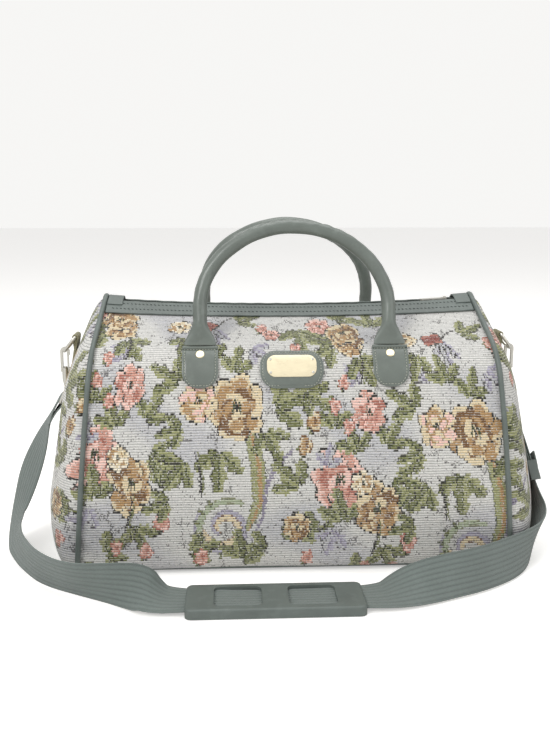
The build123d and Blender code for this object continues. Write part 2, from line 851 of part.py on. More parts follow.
with BuildPart() as snap_hook_right:
    with BuildSketch(Plane.XZ.offset(-hook_thickness / 2)):
        with Locations(hook_centre):
            Circle(hook_outer)
        with Locations((hook_centre.X, (hook_centre.Y + hook_bottom) / 2)):
            Rectangle(2 * hook_outer, hook_centre.Y - hook_bottom)
        with Locations(hook_centre):
            Circle(slot_radius, mode=Mode.SUBTRACT)
        with Locations((hook_centre.X, (hook_centre.Y + slot_bottom) / 2)):
            Rectangle(hook_inner_width, hook_centre.Y - slot_bottom, mode=Mode.SUBTRACT)
        mouth_top = hook_centre.Y - bow_tip_drop
        with Locations((hook_centre.X - slot_radius - hook_wire / 2, (mouth_top + slot_bottom) / 2)):
            Rectangle(1.2 * hook_wire, mouth_top - slot_bottom, mode=Mode.SUBTRACT)
    extrude(amount=hook_thickness)
    with BuildSketch(Plane.XY.offset(hook_bottom)):
        with Locations((hook_centre.X, 0)):
            Circle(swivel_radius)
    extrude(amount=hook_neck)
    with Locations((knuckle_centre.X - hook_wire, 0, knuckle_centre.Y + knuckle_radius / 2)):
        pocket_length = 2 * (hook_wire + knuckle_radius + slider_clearance)
        pocket_height = 3 * knuckle_radius + 2 * slider_clearance
        Box(pocket_length, gate_depth + 2 * slider_clearance, pocket_height, mode=Mode.SUBTRACT)
    with BuildSketch(Plane.XZ.offset(-hook_thickness / 2)):
        with Locations(knuckle_centre):
            Circle(gate_pivot_radius)
    extrude(amount=hook_thickness)
    with Locations((hook_centre.X, 0, (slot_bottom + hook_bottom) / 2)):
        Cylinder(swivel_post_radius + pivot_clearance, 2 * hook_neck, mode=Mode.SUBTRACT)
pieces["snap_hook_right"] = snap_hook_right

with BuildPart() as hook_gate_right:
    with BuildSketch(Plane.XZ.offset(-gate_depth / 2)):
        with Locations(knuckle_centre):
            Circle(knuckle_radius)
        with Locations((knuckle_centre.X, (knuckle_centre.Y + gate_top) / 2)):
            Rectangle(gate_thickness, gate_top - knuckle_centre.Y)
        with Locations(knuckle_centre):
            Circle(gate_pivot_radius + pivot_clearance, mode=Mode.SUBTRACT)
    extrude(amount=gate_depth)
pieces["hook_gate_right"] = hook_gate_right

# Swivel loops. The post turns in the hook, and the loop below it leans out with the webbing.
loop_bar_x = loop_inner_width / 2 + loop_wire_radius
loop_drop = loop_inner_height + 2 * loop_wire_radius


def swivel_loop(lean, turn):
    """The post, bulb and rectangular loop of one end, about the hook's own axis."""
    top_bar = hook_bottom - bulb_height
    with BuildPart() as loop:
        with Locations((0, 0, (slot_bottom + rivet_cap + hook_bottom - bulb_height / 2) / 2)):
            Cylinder(swivel_post_radius, hook_neck + rivet_cap + bulb_height / 2)
        with Locations((0, 0, slot_bottom + rivet_cap / 2 + pivot_clearance)):
            Cylinder(swivel_post_radius + rivet_cap / 2, rivet_cap)
        with BuildSketch(Plane.XY.offset(hook_bottom - pivot_clearance)):
            Circle(swivel_radius)
        with BuildSketch(Plane.XY.offset(hook_bottom - bulb_height / 2)):
            Circle(swivel_radius)
        with BuildSketch(Plane.XY.offset(top_bar)):
            Circle(loop_wire_radius)
        loft(ruled=True)
        loop_plane = Plane(
            origin=(0, 0, top_bar),
            x_dir=(0, 1, 0),
            z_dir=(cos(radians(lean)), 0, sin(radians(lean))),
        )
        with BuildLine() as half_loop:
            draw_trace(Vector(0, 0), 0, [(loop_bar_x - loop_corner, 0), (loop_corner, -90)], 0)
            side_length = loop_drop - 2 * loop_corner
            draw_trace(Vector(loop_bar_x, -loop_corner), -90, [(side_length, 0), (loop_corner, -90)], 0)
            draw_trace(Vector(loop_bar_x - loop_corner, -loop_drop), 180, [(loop_bar_x - loop_corner, 0)], 0)
            mirror(about=Plane.YZ)
        loop_path = loop_plane.from_local_coords(half_loop.wire())
        with BuildSketch(Plane(origin=loop_path @ 0, z_dir=loop_path % 0)):
            Circle(loop_wire_radius)
        sweep(path=loop_path)
    return Pos(hook_centre.X, 0, 0) * loop.part.rotate(Axis.Z, turn)


with BuildPart() as strap_loop_right:
    add(swivel_loop(loop_lean_right, 0))
pieces["strap_loop_right"] = strap_loop_right

with BuildPart() as strap_loop_left:
    mirror(swivel_loop(loop_lean_left, -loop_turn_left), about=Plane.YZ)
pieces["strap_loop_left"] = strap_loop_left

for stem in ("d_ring", "ring_tab", "snap_hook", "hook_gate"):
    add_mirrored(f"{stem}_right", f"{stem}_left", Plane.YZ)

# Webbing strap, one flat length that leaves both loops downwards and lies round the front
# Each route point has the middle of the webbing there and the way its upper edge points.
strap_route = [
    ((-256, -2, 100), (0.50, -0.86, -0.10)),
    ((-268, -4, 70), (0.59, -0.78, -0.20)),
    ((-277, -8, 40), (0.51, -0.86, 0.0)),
    ((-279, -26, 21), (0.41, -0.85, 0.33)),
    ((-270, -60, 20.3), (0.37, -0.78, 0.49)),
    ((-256, -95, 20.8), (0.30, -0.66, 0.66)),
    ((-234, -130, 20.8), (0.21, -0.53, 0.81)),
    ((-201, -157, 20.9), (0.0, -0.45, 0.89)),
    ((-165, -167, 21), (0.0, -0.10, 0.99)),
    ((-140, -170, 18.5), (0.0, 0.50, 0.85)),
    ((-127, -171, 10.5), (0.0, 0.90, 0.40)),
    ((-112, -171, 5.1), (0.0, 1.0, 0.0)),
    ((66, -171, 5.1), (0.0, 1.0, 0.0)),
    ((82, -170.5, 9.5), (0.0, 0.93, 0.35)),
    ((100, -168, 14.5), (0.0, 0.75, 0.65)),
    ((130, -163, 19.5), (0.0, 0.45, 0.90)),
    ((166, -150, 20.5), (0.0, 0.35, 0.93)),
    ((203, -125, 20.5), (-0.1, 0.20, 0.97)),
    ((230, -98, 22), (0.10, -0.10, 0.98)),
    ((242, -72, 29), (0.35, -0.30, 0.88)),
    ((246.5, -43, 47), (0.0, -0.95, 0.30)),
    ((239.5, -14, 92), (0.0, -0.95, 0.30)),
]
wrap_radius = loop_wire_radius + wrap_clearance + strap_thickness / 2
ply_spacing = strap_thickness + 2 * sewn_gap


def loop_bar(lean, turn):
    """Middle of a loop's lower bar on the right end."""
    reach = loop_drop * sin(radians(lean))
    height = hook_bottom - bulb_height - loop_drop * cos(radians(lean))
    return Vector(hook_centre.X + reach * cos(radians(turn)), reach * sin(radians(turn)), height)


def wrap_points(bar, away, width_way, radius, outer_run, inner_run):
    """Route points that take the webbing round a bar, from its outer to its inner side."""
    side = away.cross(width_way).normalized() * radius
    if side.dot(Vector(bar.X, 0, 0)) < 0:
        side = -side
    back = away * radius
    return bar + side + away * outer_run, bar + side - back, bar - side - back, bar - side + away * inner_run


mirrored_bar = loop_bar(loop_lean_left, -loop_turn_left)
left_bar = Vector(-mirrored_bar.X, mirrored_bar.Y, mirrored_bar.Z)
right_bar = loop_bar(loop_lean_right, 0)
bar_turn = radians(loop_turn_left)
left_width = Vector(sin(bar_turn), -cos(bar_turn), 0)
right_width = Vector(0, -1, 0)

left_away = (Vector(*strap_route[0][0]) - left_bar).normalized()
left_away = (left_away - left_width * left_away.dot(left_width)).normalized()
left_wrap = wrap_points(left_bar, left_away, left_width, wrap_radius, loop_run, wrap_radius)
left_out = (left_wrap[1] - left_wrap[2]).normalized()
left_tail = [
    left_bar + left_away * tail_length + left_out * (wrap_radius - ply_spacing),
    left_bar + left_away * tail_start + left_out * (wrap_radius - ply_spacing),
]

right_away = (Vector(*strap_route[-1][0]) - right_bar).normalized()
right_away = (right_away - right_width * right_away.dot(right_width)).normalized()
right_wrap = wrap_points(right_bar, right_away, right_width, wrap_radius, wrap_radius, loop_run)
right_out = (right_wrap[1] - right_wrap[2]).normalized()

# The outer ply comes back down from the right loop to the slide and ends round its middle bar.
slide_start = Vector(*strap_route[-2][0])
slide_run = Vector(*strap_route[-1][0]) - slide_start
slide_centre = slide_start + slide_run * slide_share
slide_way = slide_run.normalized()
slide_across = Vector(*strap_route[-2][1])
slide_across = (slide_across - slide_way * slide_across.dot(slide_way)).normalized()
slide_out = slide_way.cross(slide_across).normalized()
if slide_out.X < 0:
    slide_out = -slide_out
slide_wrap_radius = slide_bar_radius + wrap_clearance + strap_thickness / 2
slide_bar = slide_centre + slide_out * (ply_spacing + slide_wrap_radius)
wrap_side = slide_out * slide_wrap_radius
wrap_below = slide_way * slide_wrap_radius
return_route = [
    (right_bar + right_away * tail_start - right_out * (wrap_radius - ply_spacing), right_width),
    (Vector(*strap_route[-1][0]) + slide_out * ply_spacing, strap_route[-1][1]),
    (slide_bar - wrap_side - wrap_below, slide_across),
    (slide_bar + wrap_side - wrap_below, slide_across),
    (slide_bar + wrap_side + slide_way * slide_length, slide_across),
]

route = [(point, left_width) for point in left_tail]
route += [(point, left_width) for point in reversed(left_wrap)]
route += strap_route
route += [(point, right_width) for point in reversed(right_wrap)]
route += return_route
route_points = [Vector(*point) for point, way in route]
route_ways = [Vector(*way).normalized() for point, way in route]

runs = [(end - start).length for start, end in zip(route_points, route_points[1:])]
turns = []
radii = []
for index in range(1, len(route_points) - 1):
    arriving = (route_points[index] - route_points[index - 1]).normalized()
    leaving = (route_points[index + 1] - route_points[index]).normalized()
    turn = arriving.get_angle(leaving)
    shorter = min(runs[index - 1], runs[index])
    turns.append(turn)
    radii.append(min(fillet_share * shorter / tan(radians(turn / 2)), widest_radius))

with BuildLine() as strap_line:
    FilletPolyline(*route_points, radius=radii)
strap_path = strap_line.wire()

# Stations along the path: on every arc, and between arcs where the webbing twists
arc_middles = [0.0]
arc_ends = []
travelled = 0.0
previous_cut = 0.0
for index, (turn, radius) in enumerate(zip(turns, radii)):
    cut = radius * tan(radians(turn / 2))
    arc_start = travelled + runs[index] - previous_cut - cut
    arc_length = radius * radians(turn)
    arc_middles.append(arc_start + arc_length / 2)
    arc_ends.append((arc_start, arc_start + arc_length, turn))
    travelled = arc_start + arc_length
    previous_cut = cut
strap_length = travelled + runs[-1] - previous_cut
arc_middles.append(strap_length)

stations = [0.0]
for arc_start, arc_end, turn in arc_ends + [(strap_length, strap_length, 0)]:
    line_length = arc_start - stations[-1]
    line_steps = max(1, round(line_length / station_spacing)) if line_length < longest_plain_run else 1
    for step in range(1, line_steps + 1):
        stations.append(arc_start - line_length * (1 - step / line_steps))
    if arc_end > arc_start:
        arc_steps = max(1, round((arc_end - arc_start) / station_spacing), round(turn / station_turn))
        for step in range(1, arc_steps + 1):
            stations.append(arc_start + (arc_end - arc_start) * step / arc_steps)


def webbing_section(distance):
    """The webbing's cross-section at a distance along the strap."""
    here = strap_path.position_at(distance, position_mode=PositionMode.LENGTH)
    heading = strap_path.tangent_at(distance, position_mode=PositionMode.LENGTH)
    knot = max(index for index, middle in enumerate(arc_middles) if middle <= distance + 0.001)
    knot = min(knot, len(arc_middles) - 2)
    share = (distance - arc_middles[knot]) / (arc_middles[knot + 1] - arc_middles[knot])
    way = route_ways[knot] * (1 - share) + route_ways[knot + 1] * share
    way = (way - heading * way.dot(heading)).normalized()
    with BuildSketch(Plane(origin=here, x_dir=way, z_dir=heading)) as section:
        Rectangle(strap_width, strap_thickness)
    return section.sketch


sections = [webbing_section(distance) for distance in stations]
stretches = []
for first in range(0, len(sections) - 1, stations_per_loft):
    stretches.append(loft(sections[first : first + stations_per_loft + 1], ruled=True))
with BuildPart() as strap:
    add(stretches)
pieces["strap"] = strap
print("strap length", round(strap_length), "stations", len(stations), "radii", [round(r) for r in radii])
print("strap turns", [round(turn) for turn in turns], "floor", round(strap.part.bounding_box().min.Z, 2))

# Slide, a frame whose middle bar holds the outer ply
with BuildPart() as strap_slide:
    slide_plane = Plane(origin=slide_centre, x_dir=slide_across, z_dir=slide_way)
    side_x = strap_width / 2 + slide_side / 2 + slide_side_clearance
    inner_bar = -slide_wrap_radius
    if slide_plane.y_dir.dot(slide_out) < 0:
        inner_bar = slide_wrap_radius
    middle_bar = -inner_bar * (ply_spacing + slide_wrap_radius) / slide_wrap_radius
    with BuildSketch(slide_plane.offset(-slide_length / 2)):
        with Locations((-side_x, (middle_bar + inner_bar) / 2), (side_x, (middle_bar + inner_bar) / 2)):
            RectangleRounded(slide_side, abs(middle_bar - inner_bar) + 2 * slide_bar_radius, slide_side / 3)
    extrude(amount=slide_length)
    bar_height = slide_length / 2 - slide_bar_radius
    for height, depth in ((bar_height, inner_bar), (-bar_height, inner_bar), (0, middle_bar)):
        with BuildSketch(Plane(origin=slide_plane.from_local_coords((-side_x, depth, height)), z_dir=slide_across)):
            Circle(slide_bar_radius)
        extrude(amount=2 * side_x)
pieces["strap_slide"] = strap_slide

# Shoulder pad, on the floor in front, with the webbing through its tunnel and seen in two windows
tunnel_height = strap_thickness + 2 * tunnel_clearance
pad_tunnel_width = strap_width + 2 * tunnel_clearance
window_offset = (pad_window_length + pad_centre_bar) / 2
with BuildPart() as shoulder_pad:
    with BuildSketch():
        with Locations(pad_centre):
            RectangleRounded(pad_length, pad_depth, pad_corner)
    extrude(amount=pad_height)
    fillet(shoulder_pad.faces().sort_by(Axis.Z)[-1].edges(), pad_edge_radius)
    with Locations((pad_centre[0], pad_centre[1], strap_lay_height)):
        Box(2 * pad_length, pad_tunnel_width, tunnel_height, mode=Mode.SUBTRACT)
    with BuildSketch(Plane.XY.offset(strap_lay_height)):
        with Locations((pad_centre[0] - window_offset, pad_centre[1]), (pad_centre[0] + window_offset, pad_centre[1])):
            RectangleRounded(pad_window_length, pad_window_depth, pad_corner)
    extrude(amount=pad_height, mode=Mode.SUBTRACT)
pieces["shoulder_pad"] = shoulder_pad

for name, piece in pieces.items():
    piece.part.label = name
    export_step(piece.part, f"parts/{name}.step")
    print(name, round(piece.part.volume / 1000, 2), "cm3", len(piece.part.solids()), "solid")
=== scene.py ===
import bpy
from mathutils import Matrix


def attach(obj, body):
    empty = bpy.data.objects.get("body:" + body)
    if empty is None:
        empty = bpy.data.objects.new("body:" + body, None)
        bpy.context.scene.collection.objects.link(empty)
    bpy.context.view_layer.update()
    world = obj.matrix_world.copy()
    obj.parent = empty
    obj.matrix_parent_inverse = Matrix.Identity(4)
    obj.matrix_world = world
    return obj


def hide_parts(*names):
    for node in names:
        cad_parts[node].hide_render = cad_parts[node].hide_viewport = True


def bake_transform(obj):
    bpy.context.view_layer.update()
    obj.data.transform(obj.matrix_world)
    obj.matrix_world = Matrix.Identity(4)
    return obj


bl_info = {
    "name": "Carpet Bag",
    "version": (1, 0, 0),
    "blender": (4, 5, 0),
    "location": "3D View > Sidebar > Carpet Bag",
    "description": "Dresses the frame of a tapestry carpet bag with cloth, leather, webbing and metal",
    "category": "Object",
}

import math

import bpy
import numpy as np

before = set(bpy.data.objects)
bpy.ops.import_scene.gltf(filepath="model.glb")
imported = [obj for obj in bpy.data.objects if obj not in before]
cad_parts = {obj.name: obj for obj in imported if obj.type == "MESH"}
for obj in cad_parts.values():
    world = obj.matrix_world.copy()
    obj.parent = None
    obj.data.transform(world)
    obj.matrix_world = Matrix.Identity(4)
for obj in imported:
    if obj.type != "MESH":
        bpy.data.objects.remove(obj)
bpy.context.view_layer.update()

MM = 0.001

# Cross-section of the bag, in millimetres and degrees, as the frame has it
SEAM_HALF_LENGTH = 205.0
SEAM_LEAN = 4.9
BASE_HALF_DEPTH = 87.0
CORNER_RADIUS = 20.0
CORNER_TURN = 84.0
SIDE_RADIUS = 526.0
SIDE_END = 102.0
SHOULDER_RADIUS = 50.0
END_HEADING = 153.0
MIDDLE_HEADING = 158.5
RIDGE_RADIUS = 14.0
LIP_HALF_GAP = 7.0
FACING_WIDTH = 22.0
FACING_OVERLAP = 6.0
BASE_SEAM_HEADING = 45.0
PANEL_HALF_LENGTH = 204.1
END_GAP = 0.9
END_BULGE = 43.0
END_LEAN = 10.0
END_CENTRE_HEIGHT = 141.0
END_FLAT_INSET = 46.0
BEAD_LIFT = 2.6

# Ends of the zip bands, their section and their stitches
BAND_SETBACK = 2.7
BAND_THICKNESS = 1.8
BAND_CROWN = 0.55
BAND_LIFT = 1.0
BAND_STITCH_LIFT = 2.45
BAND_STITCH_INSETS = (6.6, 15.6)
BAND_STITCH_RUN = 176
BAND_STITCH_SETBACK = 21

# Handles. The arcs are a radius and a turn, or a length and no turn
HINGE_DEPTH = 82.56
HINGE_HEIGHT = 213.43
LEAN_SIN = 0.28569
LEAN_COS = 0.95832
HANDLE_HALF_SPAN = 88.0
HANDLE_FOOT = 2.0
HANDLE_ARCS = [(34.0, 0), (71.77, 48), (96.03, 84), (71.77, 48), (34.0, 0)]
HANDLE_RADIUS = 6.5
FLARE_LENGTH = 26.0
FLARE_WIDENING = 8.2
FLARE_THINNING = 4.5

# Leather tabs and badge on the wall
TAB_CREASE_HEADING = 141.4
TAB_RISE = 38.6
TAB_DROP = 38
TAB_HALF_WIDTH = 16.5
TAB_CORNER = 14.5
TAB_THICKNESS = 2.2
CREASE_HALF_LENGTH = 16.2
CREASE_RADIUS = 1.7
BADGE_TOP_HEADING = 138.0
BADGE_CENTRE = -4.0
BADGE_RISE = 36
BADGE_HALF_WIDTH = 29.25
BADGE_CORNER = 15.5
BADGE_THICKNESS = 1.75
PATCH_STITCH_INSET = 2.4
PATCH_STITCH_LENGTH = 2.2

# Strap
WEBBING_WIDTH = 39.4
WEBBING_THICKNESS = 1.7
WEBBING_STEP = 1.6

# Points and faces of the grids
OUTLINE_POINTS = 721
PIPING_POINTS = 520
SECTION_STEPS = 24
WEBBING_SECTION_STEPS = 40

# Where the back and the ends lie on the tapestry's chart
BACK_CHART_SHIFT = 520
END_CHART_SHIFT = 118
END_CHART_STRETCH = 1.02

# The camera of the photograph
CAMERA_PLACE = (-0.059, -0.904, 0.352)
CAMERA_PITCH = 10.8
CAMERA_YAW = 2.8
CAMERA_FOCAL_PIXELS = 900
PICTURE_WIDTH_PIXELS = 550
SENSOR_WIDTH = 36


def outward(heading):
    """Outward direction of the wall as depth and height, where its outline has a heading."""
    angle = np.radians(heading)
    return np.sin(angle), -np.cos(angle)


def arc_point(centre, radius, heading):
    depth, height = outward(heading)
    return centre[0] + depth * radius, centre[1] + height * radius


CORNER_CENTRE = (BASE_HALF_DEPTH, CORNER_RADIUS)
SIDE_CENTRE = arc_point(CORNER_CENTRE, CORNER_RADIUS - SIDE_RADIUS, CORNER_TURN)
SHOULDER_CENTRE = arc_point(SIDE_CENTRE, SIDE_RADIUS - SHOULDER_RADIUS, SIDE_END)
CORNER_RUN = CORNER_RADIUS * math.radians(CORNER_TURN - BASE_SEAM_HEADING)
SIDE_RUN = SIDE_RADIUS * math.radians(SIDE_END - CORNER_TURN)
SHOULDER_START = CORNER_RUN + SIDE_RUN


def wall(run, top_heading, lift=0.0):
    """Depth and height of the wall, a run of millimetres up from the base seam."""
    run, top_heading, lift = np.broadcast_arrays(run, top_heading, lift)
    shoulder_run = SHOULDER_RADIUS * np.radians(top_heading - SIDE_END)
    corner = BASE_SEAM_HEADING + np.degrees(run / CORNER_RADIUS)
    side = CORNER_TURN + np.degrees((run - CORNER_RUN) / SIDE_RADIUS)
    shoulder = SIDE_END + np.degrees((run - SHOULDER_START) / SHOULDER_RADIUS)
    heading = np.where(run < CORNER_RUN, corner, np.where(run < SHOULDER_START, side, shoulder))
    heading = np.minimum(heading, top_heading)
    places = []
    for axis in (0, 1):
        here = outward(heading)[axis]
        on_corner = CORNER_CENTRE[axis] + here * (CORNER_RADIUS + lift)
        on_side = SIDE_CENTRE[axis] + here * (SIDE_RADIUS + lift)
        on_shoulder = SHOULDER_CENTRE[axis] + here * (SHOULDER_RADIUS + lift)
        upper = np.where(run < SHOULDER_START, on_side, on_shoulder)
        places.append(np.where(run < CORNER_RUN, on_corner, upper))
    beyond = np.maximum(run - SHOULDER_START - shoulder_run, 0)
    angle = np.radians(top_heading)
    return places[0] + np.cos(angle) * beyond, places[1] + np.sin(angle) * beyond


def slope_length(top_heading):
    """Straight slope from the shoulder to the lip beside the zip."""
    depth = SHOULDER_CENTRE[0] + outward(top_heading)[0] * SHOULDER_RADIUS
    return (depth - LIP_HALF_GAP) / -np.cos(np.radians(top_heading))


def top_heading_at(share):
    """Heading of the slope at a share of the way from the middle of the bag to an end."""
    return MIDDLE_HEADING + (END_HEADING - MIDDLE_HEADING) * share**2


def lip_run(share):
    """Run from the base seam to the lip beside the zip."""
    heading = top_heading_at(share)
    return SHOULDER_START + SHOULDER_RADIUS * np.radians(heading - SIDE_END) + slope_length(heading)


def leaned(share, half_length, depth, height):
    """A point of the leaning section that stands at a share of the half length."""
    lean = np.radians(SEAM_LEAN) * share
    return half_length * share - np.sin(lean) * height, depth, np.cos(lean) * height


def ease(low, high, value):
    """Smooth step from 0 at low to 1 at high."""
    share = np.clip((value - low) / (high - low), 0, 1)
    return share * share * (3 - 2 * share)


# Modelling helpers


def deselect():
    if bpy.context.object and bpy.context.object.mode != "OBJECT":
        bpy.ops.object.mode_set(mode="OBJECT")
    bpy.ops.object.select_all(action="DESELECT")


def make_active(piece):
    deselect()
    piece.select_set(True)
    bpy.context.view_layer.objects.active = piece


def apply_modifier(piece, kind, **settings):
    """Add one modifier, set it and apply it."""
    make_active(piece)
    modifier = piece.modifiers.new(kind.title(), kind)
    for name, value in settings.items():
        setattr(modifier, name, value)
    bpy.ops.object.modifier_apply(modifier=modifier.name)


def weld(piece, distance=0.00001):
    """Merge doubled points and point all faces outwards."""
    make_active(piece)
    bpy.ops.object.mode_set(mode="EDIT")
    bpy.ops.mesh.select_all(action="SELECT")
    bpy.ops.mesh.remove_doubles(threshold=distance)
    bpy.ops.mesh.normals_make_consistent(inside=False)
    bpy.ops.object.mode_set(mode="OBJECT")


def place_at_origin(piece):
    make_active(piece)
    bpy.ops.object.transform_apply(location=True, rotation=True, scale=True)


def finish_piece(piece, material, body, replaced=()):
    """Give a finished piece its material, the body that it rides on and the nodes it stands for."""
    place_at_origin(piece)
    bpy.ops.object.shade_smooth()
    piece.data.materials.clear()
    piece.data.materials.append(material)
    if replaced:
        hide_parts(*replaced)
    if body:
        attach(piece, body)
    return piece


def shape_grid(name, columns, rows, surface, laid, chart=None, closed=False):
    """Add a grid and shape it. surface and laid take shares across and along, and give millimetres."""
    deselect()
    bpy.ops.mesh.primitive_grid_add(x_subdivisions=columns, y_subdivisions=rows, size=2)
    piece = bpy.context.object
    piece.name = name
    mesh = piece.data
    points = np.empty(len(mesh.vertices) * 3, dtype=np.float32)
    mesh.vertices.foreach_get("co", points)
    points = points.reshape(-1, 3).astype(np.float64)
    across, along = (points[:, 0] + 1) / 2, (points[:, 1] + 1) / 2
    corners = np.empty(len(mesh.loops), dtype=np.int32)
    mesh.loops.foreach_get("vertex_index", corners)
    flat = np.stack(np.broadcast_arrays(*laid(across, along)), -1)
    while mesh.uv_layers:
        mesh.uv_layers.remove(mesh.uv_layers[0])
    layer = mesh.uv_layers.new(name="laid")
    layer.data.foreach_set("uv", flat[corners].astype(np.float32).ravel())
    if chart:
        quads = corners.reshape(-1, 4)
        centres = flat[quads].mean(axis=1)
        colours = np.ones((len(quads), 4, 4), dtype=np.float32)
        colours[:, :, :3] = chart(centres[:, 0], centres[:, 1])[:, None, :]
        attribute = mesh.color_attributes.new("stitch", "FLOAT_COLOR", "CORNER")
        attribute.data.foreach_set("color", colours.ravel())
    place = np.stack(np.broadcast_arrays(*surface(across, along)), -1) * MM
    mesh.vertices.foreach_set("co", place.astype(np.float32).ravel())
    mesh.update()
    if closed:
        weld(piece)
    return piece


def copy_of_node(name, node, voxel):
    """A softened copy of a frame solid, as a new piece."""
    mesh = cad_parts[node].data.copy()
    piece = bpy.data.objects.new(name, mesh)
    bpy.context.collection.objects.link(piece)
    weld(piece, 0.00002)
    apply_modifier(piece, "REMESH", mode="VOXEL", voxel_size=voxel)
    apply_modifier(piece, "SMOOTH", factor=0.5, iterations=4)
    apply_modifier(piece, "DECIMATE", ratio=0.4)
    return piece


def smooth_line(points):
    """Points along the smooth curve through control points, as Blender draws it."""
    curve = bpy.data.curves.new("route", "CURVE")
    curve.dimensions = "3D"
    curve.resolution_u = 8
    spline = curve.splines.new("NURBS")
    spline.points.add(len(points) - 1)
    for point, place in zip(spline.points, points):
        point.co = (*place, 1)
    spline.order_u = 3
    spline.use_endpoint_u = True
    holder = bpy.data.objects.new("route", curve)
    mesh = bpy.data.meshes.new_from_object(holder)
    line = np.array([tuple(v.co) for v in mesh.vertices])
    bpy.data.objects.remove(holder)
    bpy.data.curves.remove(curve)
    bpy.data.meshes.remove(mesh)
    return line


def unit(vectors):
    return vectors / np.linalg.norm(vectors, axis=-1, keepdims=True)


def along_line(line, share):
    """Places and directions at shares of the length of a line of points."""
    steps = np.linalg.norm(np.diff(line, axis=0), axis=1)
    runs = np.concatenate([[0], np.cumsum(steps)])
    slopes = unit(np.gradient(line, axis=0))
    places = np.stack([np.interp(share * runs[-1], runs, line[:, k]) for k in range(3)], -1)
    headings = np.stack([np.interp(share * runs[-1], runs, slopes[:, k]) for k in range(3)], -1)
    return places, unit(headings), runs[-1]


def stitch_row(name, places, headings, facings, length, width, material, slot, body):
    """One mesh of sewn stitches, small rounded threads that lie on a surface. All in millimetres."""
    deselect()
    bpy.ops.mesh.primitive_uv_sphere_add(segments=6, ring_count=4, radius=1)
    thread = bpy.context.object
    shape = np.array([tuple(v.co) for v in thread.data.vertices])
    faces = [tuple(p.vertices) for p in thread.data.polygons]
    bpy.data.objects.remove(thread)
    headings, facings = unit(np.asarray(headings)), unit(np.asarray(facings))
    sides = np.cross(facings, headings)
    points, joined = [], []
    for place, heading, side, facing in zip(places, headings, sides, facings):
        start = sum(len(block) for block in points)
        block = (
            place
            + shape[:, 0:1] * heading * length / 2
            + shape[:, 1:2] * side * width / 2
            + shape[:, 2:3] * facing * width / 2
        )
        points.append(block)
        joined.extend(tuple(start + k for k in face) for face in faces)
    mesh = bpy.data.meshes.new(name)
    mesh.from_pydata((np.concatenate(points) * MM).tolist(), [], joined)
    piece = bpy.data.objects.new(name, mesh)
    bpy.context.collection.objects.link(piece)
    return finish_piece(piece, material, body)


# Shader helpers


def linear(red, green, blue):
    """A colour as it is seen on a screen, from 0 to 255, as a linear colour."""
    return tuple((c / 255) ** 2.2 for c in (red, green, blue))


class Signal:
    """A shader socket that can be used in sums."""

    def __init__(self, finish, socket):
        self.finish = finish
        self.socket = socket

    def maths(self, operation, *others):
        inputs = [self, *others]
        return self.finish.node("ShaderNodeMath", {"operation": operation}, dict(enumerate(inputs)))

    def __add__(self, other):
        return self.maths("ADD", other)

    __radd__ = __add__

    def __sub__(self, other):
        return self.maths("SUBTRACT", other)

    def __rsub__(self, other):
        return (self * -1) + other

    def __mul__(self, other):
        return self.maths("MULTIPLY", other)

    __rmul__ = __mul__

    def __truediv__(self, other):
        return self.maths("DIVIDE", other)

    def __pow__(self, other):
        return self.maths("POWER", other)

    def sine(self):
        return self.maths("SINE")

    def size(self):
        return self.maths("ABSOLUTE")

    def floor(self):
        return self.maths("FLOOR")

    def fraction(self):
        return self.maths("FRACT")

    def ramp(self, low, high):
        """From 0 at low to 1 at high, clamped."""
        settings = {"clamp": True, "interpolation_type": "SMOOTHSTEP"}
        inputs = {"Value": self, "From Min": low, "From Max": high}
        return self.finish.node("ShaderNodeMapRange", settings, inputs)


